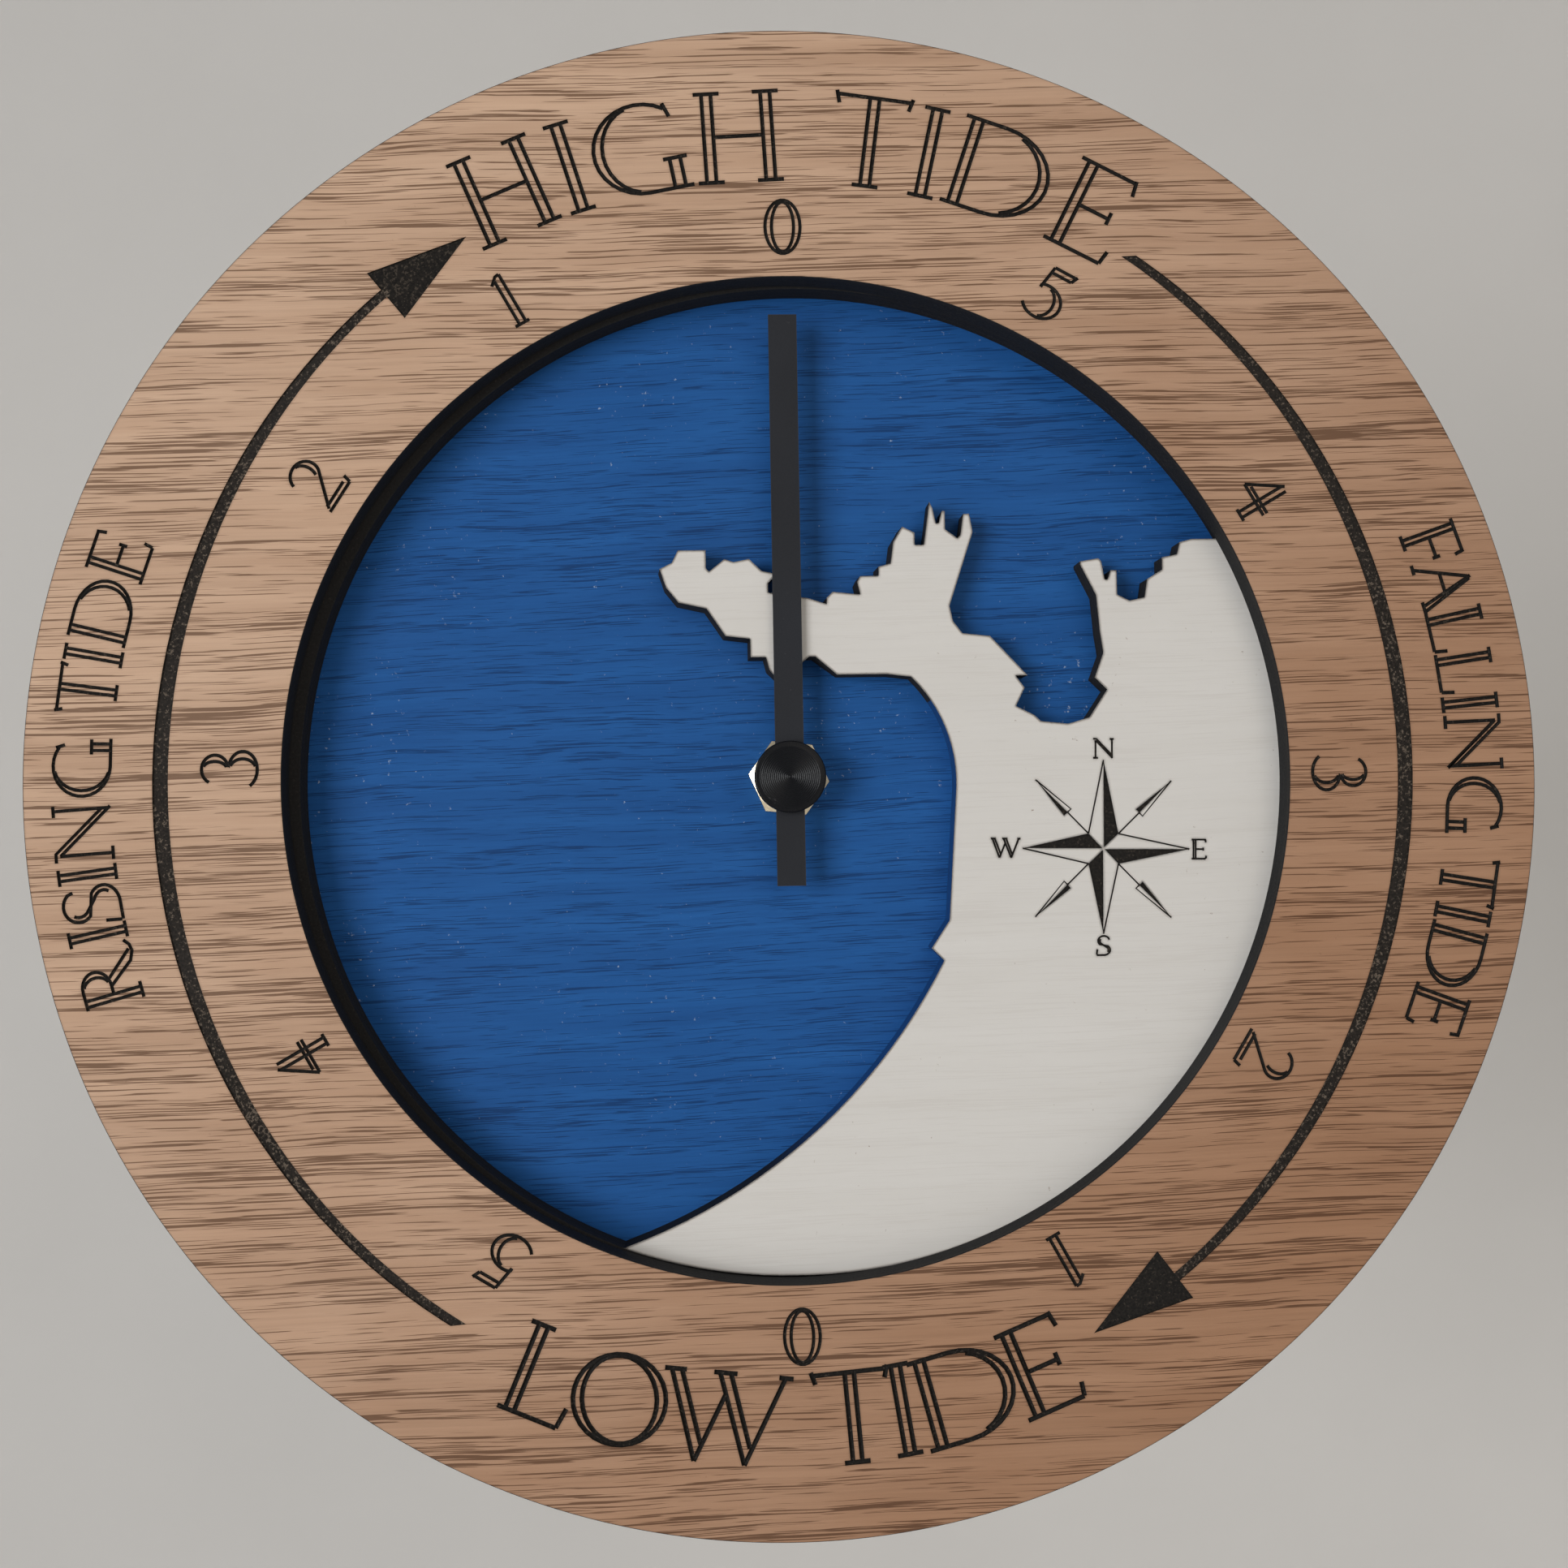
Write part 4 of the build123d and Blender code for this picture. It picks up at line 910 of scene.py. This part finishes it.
# the last colour is the ring's darker lower right: partly its veneer's tone, partly painted shade away from
# the light
RING_WOOD = wood("ring_veneer", (0.580, 0.392, 0.272), (0.492, 0.319, 0.213), (0.150, 0.079, 0.043),
                 (0.20, 0.88, 0.3), 0.014, 0.0002, SCORCH, 0.38, 0.0008, (0.60, 0.475, 0.385))
RAW_PLY = wood("raw_ply", (0.56, 0.42, 0.27), (0.44, 0.31, 0.19), (0.20, 0.11, 0.06),
               (0.3, 0.5, 0.3), 0.02, 0.0004, SCORCH, 0.5, 0.0012)
LAND_WOOD = wood("land_birch", (0.640, 0.618, 0.588), (0.620, 0.596, 0.563), (0.20, 0.13, 0.08),
                 (0.04, 0.05, 0.8), 0.012, 0.00025, (0.36, 0.20, 0.09), 0.55, 0.0010, rim=0.0008)
BLUE = stained_blue()
WASHED = washed_char()
BRASS = metal("turned_brass", (0.93, 0.80, 0.58), 0.24, (900.0, 90.0, 900.0), 0.10, 0.04)
STAMPED_BRASS = metal("stamped_brass", (0.74, 0.55, 0.26), 0.32, (4000.0, 90.0, 300.0))
STEEL = metal("nickel_plate", (0.60, 0.60, 0.61), 0.28, (300.0, 3000.0, 300.0))
COPPER = metal("enamelled_wire", (0.62, 0.25, 0.10), 0.30, (9000.0, 60.0, 60.0))
MAGNET = metal("sintered_magnet", (0.07, 0.07, 0.075), 0.55, (2500.0, 2500.0, 2500.0))
CASE = moulded("case_plastic", (0.020, 0.020, 0.022), 0.50)
KNOB = moulded("knob_plastic", (0.30, 0.30, 0.31), 0.42)
NATURAL = moulded("natural_plastic", (0.64, 0.62, 0.56), 0.40, 0.1)
RUBBER = moulded("soft_rubber", (0.022, 0.022, 0.022), 0.80)
LAMINATE = moulded("board_laminate", (0.20, 0.115, 0.045), 0.45)
RESIN = moulded("poured_resin", (0.010, 0.010, 0.011), 0.22, 0.05)
HAND_BLACK = lacquer("hand_lacquer", (0.015, 0.0165, 0.021), 0.60, 0.22, 0.25)
CAP_BLACK = lacquer("cap_gloss", (0.0045, 0.005, 0.0065), 0.30, 0.16, 0.0)
JACKET = battery_jacket()

NODE_FINISH = {
    "fixing_nut": BRASS, "threaded_bush": BRASS, "rubber_washer": RUBBER, "movement_case": CASE,
    "rear_cover": CASE, "setting_knob": KNOB, "train_bridge": NATURAL, "coil_bobbin": NATURAL,
    "circuit_board": LAMINATE, "driver_chip": RESIN, "quartz_crystal": STEEL, "stator": STEEL,
    "coil_core": STEEL, "coil_winding": COPPER,
    "positive_contact": STEEL, "negative_contact": STEEL, "battery": JACKET, "tide_hand": HAND_BLACK,
    "hour_wheel": NATURAL, "motion_wheel": NATURAL, "cannon_arbor": STEEL, "clutch_spring": STEEL,
    "centre_wheel": STAMPED_BRASS, "third_wheel": NATURAL, "seconds_wheel": NATURAL, "fifth_wheel": NATURAL,
    "rotor": NATURAL, "rotor_magnet": MAGNET,
}


def burn_sides(piece):
    """Gives every face that doesn't face the front or the back to the burnt slot."""
    for face in piece.data.polygons:
        if abs(face.normal.y) < SIDE_FACE:
            face.material_index = BURNT_SLOT


def finished(piece, body, slot, *stands_for, angle=SMOOTH_ANGLE):
    """Settles a piece, declares its body, and hides the nodes it stands for. The slot is not used."""
    settle(piece, angle)
    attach(piece, body)
    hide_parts(*stands_for)


# Ply pieces

def make_front_ring():
    ring = lathe("engraved_ring", washer_profile(RING_RADIUS, OPENING_RADIUS, RING_FRONT, SPACER_FRONT))
    dress(ring, RING_WOOD, BURNT)
    burn_sides(ring)
    engraving = Engraving("ring_marks", RING_FRONT, ENGRAVED)
    mark_ring(engraving)
    engraving.cut(ring)
    finished(ring, "clock_body", "ring_wood", "front_ring")


def make_spacer():
    """The blackened spacer, whose opening sits a little to the right of the ring's, so that a ledge shows."""
    spacer = lathe("spacer_ply", washer_profile(RING_RADIUS, OPENING_RADIUS, SPACER_FRONT, DIAL_FRONT))
    for vertex in spacer.data.vertices:
        if math.hypot(vertex.co.x, vertex.co.z) < (OPENING_RADIUS + RING_RADIUS) / 2:
            vertex.co += SPACER_SHIFT
    dress(spacer, BURNT)
    finished(spacer, "clock_body", "ring_wood", "spacer_ring")


def make_dial():
    dial = lathe("dial_ply", washer_profile(RING_RADIUS, DIAL_HOLE_RADIUS, DIAL_FRONT, DIAL_BACK))
    dress(dial, BLUE, BURNT, RAW_PLY)
    burn_sides(dial)
    for face in dial.data.polygons:
        if face.normal.y > BACK_FACE:
            face.material_index = 2
    finished(dial, "clock_body", "dial_wood", "dial_board")


# The land: the walls of its shore, the headland, whose walls were cut at a slight slant, and the right rim
SHORE_X = (-30 * MM, 40 * MM)
SHORE_Z = (-80 * MM, 12 * MM)
HEADLAND_X = 22 * MM
HEADLAND_Z = 17 * MM
HEADLAND_SLANT = Vector((-0.4 * MM, 0, -0.1 * MM))
LAND_RIM = 1.0 * MM
LAND_RIM_SHIFT = Vector((1.3 * MM, 0, 0))


def copy_of(node, name):
    """A free copy of a CAD node's mesh, to be cut."""
    piece = nodes[node].copy()
    piece.data = nodes[node].data.copy()
    piece.name = name
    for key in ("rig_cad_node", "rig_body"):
        del piece[key]
    piece.parent = None
    bpy.context.scene.collection.objects.link(piece)
    merge(piece)
    return piece


def fit_land(land):
    """Moves the foot of the headland's walls, and brings the right rim close to the spacer."""
    for vertex in land.data.vertices:
        x, y, z = vertex.co
        if x < HEADLAND_X and z > HEADLAND_Z and y > (LAND_FRONT + DIAL_FRONT) / 2:
            vertex.co += HEADLAND_SLANT
        elif x > 0 and math.hypot(x, z) > OPENING_RADIUS - LAND_RIM:
            vertex.co += LAND_RIM_SHIFT


def make_land():
    land = copy_of("land_overlay", "engraved_land")
    fit_land(land)
    dress(land, LAND_WOOD, BURNT, WASHED)
    burn_sides(land)
    for face in land.data.polygons:
        on_shore = SHORE_X[0] < face.center.x < SHORE_X[1] and SHORE_Z[0] < face.center.z < SHORE_Z[1]
        if face.material_index == BURNT_SLOT and face.normal.x < 0 and on_shore:
            face.material_index = 2
    engraving = Engraving("rose", LAND_FRONT, ENGRAVED)
    mark_rose(engraving)
    engraving.cut(land)
    finished(land, "clock_body", "land_wood", "land_overlay")


# Rear cover: moulded signs for the cell's ends, and a two-way arrow round the setting knob

COVER_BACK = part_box("rear_cover")[1].y
COVER_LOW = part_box("rear_cover")[0].z
KNOB_MIDDLE = (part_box("setting_knob")[0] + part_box("setting_knob")[1]) / 2
MARK_LINE = 0.4 * MM
SIGN_REACH = 1.8 * MM
SIGN_PLACE = 22 * MM
SIGN_RISE = 4.5 * MM
TURN_RADIUS = 8 * MM
TURN_SPAN = (35, 145)
TURN_BARB = 1.8 * MM
BARB_ANGLE = 40


def make_cover():
    cover = copy_of("rear_cover", "marked_cover")
    dress(cover, CASE)
    marks = Engraving("cover_marks", COVER_BACK, CASE, -1)
    level = COVER_LOW + SIGN_RISE
    for side in (-1, 1):
        bar = [(side * SIGN_PLACE - SIGN_REACH, level), (side * SIGN_PLACE + SIGN_REACH, level)]
        marks.stroke(0, bar, False, MARK_LINE)
    marks.stroke(1, [(SIGN_PLACE, level - SIGN_REACH), (SIGN_PLACE, level + SIGN_REACH)], False, MARK_LINE)
    middle = (KNOB_MIDDLE.x, KNOB_MIDDLE.z)
    turn = arc_points(middle, (TURN_RADIUS, TURN_RADIUS), *TURN_SPAN)
    marks.stroke(2, turn, False, MARK_LINE)
    for layer, (end, before) in enumerate(((turn[0], turn[1]), (turn[-1], turn[-2])), 3):
        back = (Vector(before) - Vector(end)).normalized() * TURN_BARB
        for side in (-1, 1):
            barb = Vector(end) + Matrix.Rotation(side * math.radians(BARB_ANGLE), 2) @ back
            marks.stroke(2 * layer + side, [tuple(end), tuple(barb)], False, MARK_LINE)
    marks.cut(cover)
    finished(cover, "clock_body", "case_plastic", "rear_cover")


# Hub cap

CAP_RINGS = 16
RING_DEPTH = 0.06 * MM
CAP_RIM = 0.35 * MM
CAP_ROUND = 0.3 * MM
CAP_ROUND_STEPS = 6
CAP_STEPS = 96
CAP_SMOOTH = 30.0


def make_cap():
    """A turned cap: fine rings on its face, a rounded rim and a flat back."""
    pitch = (CAP_RADIUS - CAP_RIM - CAP_ROUND) / (CAP_RINGS + 0.5)
    profile = [(0.0, CAP_BACK), (0.0, CAP_FRONT + RING_DEPTH)]
    for ring in range(CAP_RINGS):
        profile += [(pitch * (ring + 0.5), CAP_FRONT), (pitch * (ring + 1), CAP_FRONT + RING_DEPTH)]
    for step in range(CAP_ROUND_STEPS + 1):
        angle = math.radians(90 * step / CAP_ROUND_STEPS)
        profile.append((CAP_RADIUS - CAP_ROUND + CAP_ROUND * math.sin(angle),
                        CAP_FRONT + CAP_ROUND - CAP_ROUND * math.cos(angle)))
    profile.append((CAP_RADIUS, CAP_BACK))
    cap = lathe("turned_cap", profile, CAP_STEPS)
    dress(cap, CAP_BLACK)
    finished(cap, "hand", "cap_black", "hand_cap", angle=CAP_SMOOTH)


for name, material in NODE_FINISH.items():
    dress(nodes[name], material)
make_front_ring()
make_spacer()
make_dial()
make_land()
make_cover()
make_cap()


# Stage: a pale wall behind, a pale floor below, a large soft window light from the left and fill light

WALL_SIZE = 3.0
WALL_BEHIND = 0.5
WALL_COLOUR = (0.575, 0.556, 0.533)
# painted light: how much brighter the wall is painted towards the right, and the span of X over which it
# brightens
WALL_PAINTED_LIGHT = 1.17
PAINTED_LIGHT_SPAN = (-0.5, 0.5)
FLOOR_DROP = 0.45
FLOOR_COLOUR = (0.62, 0.61, 0.59)
STAGE_ROUGHNESS = 0.9


def stage_finish(name, colour, one_sided, right=1.0):
    """A plain matt stage colour that may be painted brighter to the right, as painted light where the lamps'
    light falls off. A one-sided wall can't be seen from behind.
    """
    material, finish, shader, where = new_finish(name)
    tone = finish.patchy(finish.noise(where, 9.0, 3.0), colour, 0.97, 1.0)
    across = finish.add("SeparateXYZ", Vector=where).outputs["X"]
    # painted light: the colour brightens towards the right, against the lamps' falloff
    painted_brighter = finish.mix(1.0, tone, (right, right, right), "MULTIPLY")
    finish.feed(shader.inputs["Base Color"], finish.mix(finish.span(across, *PAINTED_LIGHT_SPAN), tone, painted_brighter))
    shader.inputs["Roughness"].default_value = STAGE_ROUGHNESS
    if one_sided:
        side = finish.add("NewGeometry").outputs["Backfacing"]
        clear = finish.add("BsdfTransparent").outputs[0]
        mixed = finish.add("MixShader")
        for socket, value in zip(mixed.inputs, (side, shader.outputs[0], clear)):
            finish.feed(socket, value)
        finish.feed(finish.tree.nodes["Material Output"].inputs["Surface"], mixed.outputs[0])
    return material


def make_stage():
    deselect()
    upright_turn = (math.pi / 2, 0, 0)
    bpy.ops.mesh.primitive_plane_add(size=WALL_SIZE, location=(0, WALL_BEHIND, 0), rotation=upright_turn)
    wall = bpy.context.object
    wall.name = "wall"
    dress(wall, stage_finish("pale_wall", WALL_COLOUR, True, WALL_PAINTED_LIGHT))
    bpy.ops.mesh.primitive_plane_add(size=2 * WALL_SIZE, location=(0, 0, -FLOOR_DROP))
    floor = bpy.context.object
    floor.name = "floor"
    dress(floor, stage_finish("pale_floor", FLOOR_COLOUR, False))
    wall.visible_shadow = False
    wall.visible_diffuse = False
    wall.visible_glossy = False


# Lamps: place, the point that they light, width and height, watts and colour
WHITE = (1.0, 1.0, 1.0)
LAMPS = {
    "window": ((-1.25, -1.60, -0.10), (0, -0.02, 0), (0.95, 1.36), 32.6, (0.97, 0.985, 1.0)),
    "front_fill": ((0.55, -1.45, 0.5), (0, 0, 0), (1.0, 1.0), 4.6, (1.0, 0.90, 0.77)),
    "rear_left": ((-0.8, 0.9, 0.7), (0, 0, 0), (0.8, 0.8), 11.0, WHITE),
    "rear_right": ((0.9, 0.8, 0.2), (0, 0, 0), (0.8, 0.8), 6.0, WHITE),
}
WORLD_COLOUR = (0.86, 0.87, 0.88, 1.0)
WORLD_STRENGTH = 0.32


def lamp(name, place, target, size, power, colour):
    data = bpy.data.lights.new(name, "AREA")
    data.shape = "RECTANGLE"
    data.size, data.size_y = size
    data.energy = power
    data.color = colour
    item = bpy.data.objects.new(name, data)
    bpy.context.scene.collection.objects.link(item)
    item.location = place
    item.rotation_euler = (Vector(target) - Vector(place)).to_track_quat("-Z", "Y").to_euler()


def make_lights():
    for name, settings in LAMPS.items():
        lamp(name, *settings)
    world = bpy.data.worlds.new("studio")
    world.use_nodes = True
    background = world.node_tree.nodes["Background"]
    background.inputs["Color"].default_value = WORLD_COLOUR
    background.inputs["Strength"].default_value = WORLD_STRENGTH
    bpy.context.scene.world = world


# Camera, fitted to the photograph: place in metres, turns in degrees, focal length as a share of the frame
CAMERA_PLACE = (-11.07 * MM, -301.29 * MM, -9.70 * MM)
CAMERA_YAW = 2.119
CAMERA_PITCH = 1.80
CAMERA_ROLL = 0.97
CAMERA_FOCUS = 1.0833
CAMERA_SENSOR = 36.0
CAMERA_NEAR = 10 * MM


def make_camera():
    data = bpy.data.cameras.new("camera")
    data.sensor_width = CAMERA_SENSOR
    data.lens = CAMERA_FOCUS * CAMERA_SENSOR
    data.clip_start = CAMERA_NEAR
    camera = bpy.data.objects.new("camera", data)
    bpy.context.scene.collection.objects.link(camera)
    yaw = Matrix.Rotation(math.radians(-CAMERA_YAW), 4, "Z")
    pitch = Matrix.Rotation(math.radians(90 + CAMERA_PITCH), 4, "X")
    roll = Matrix.Rotation(math.radians(-CAMERA_ROLL), 4, "Z")
    camera.matrix_world = Matrix.Translation(CAMERA_PLACE) @ yaw @ pitch @ roll
    bpy.context.scene.camera = camera


make_stage()
make_lights()
make_camera()
bpy.context.scene.view_settings.view_transform = "Standard"
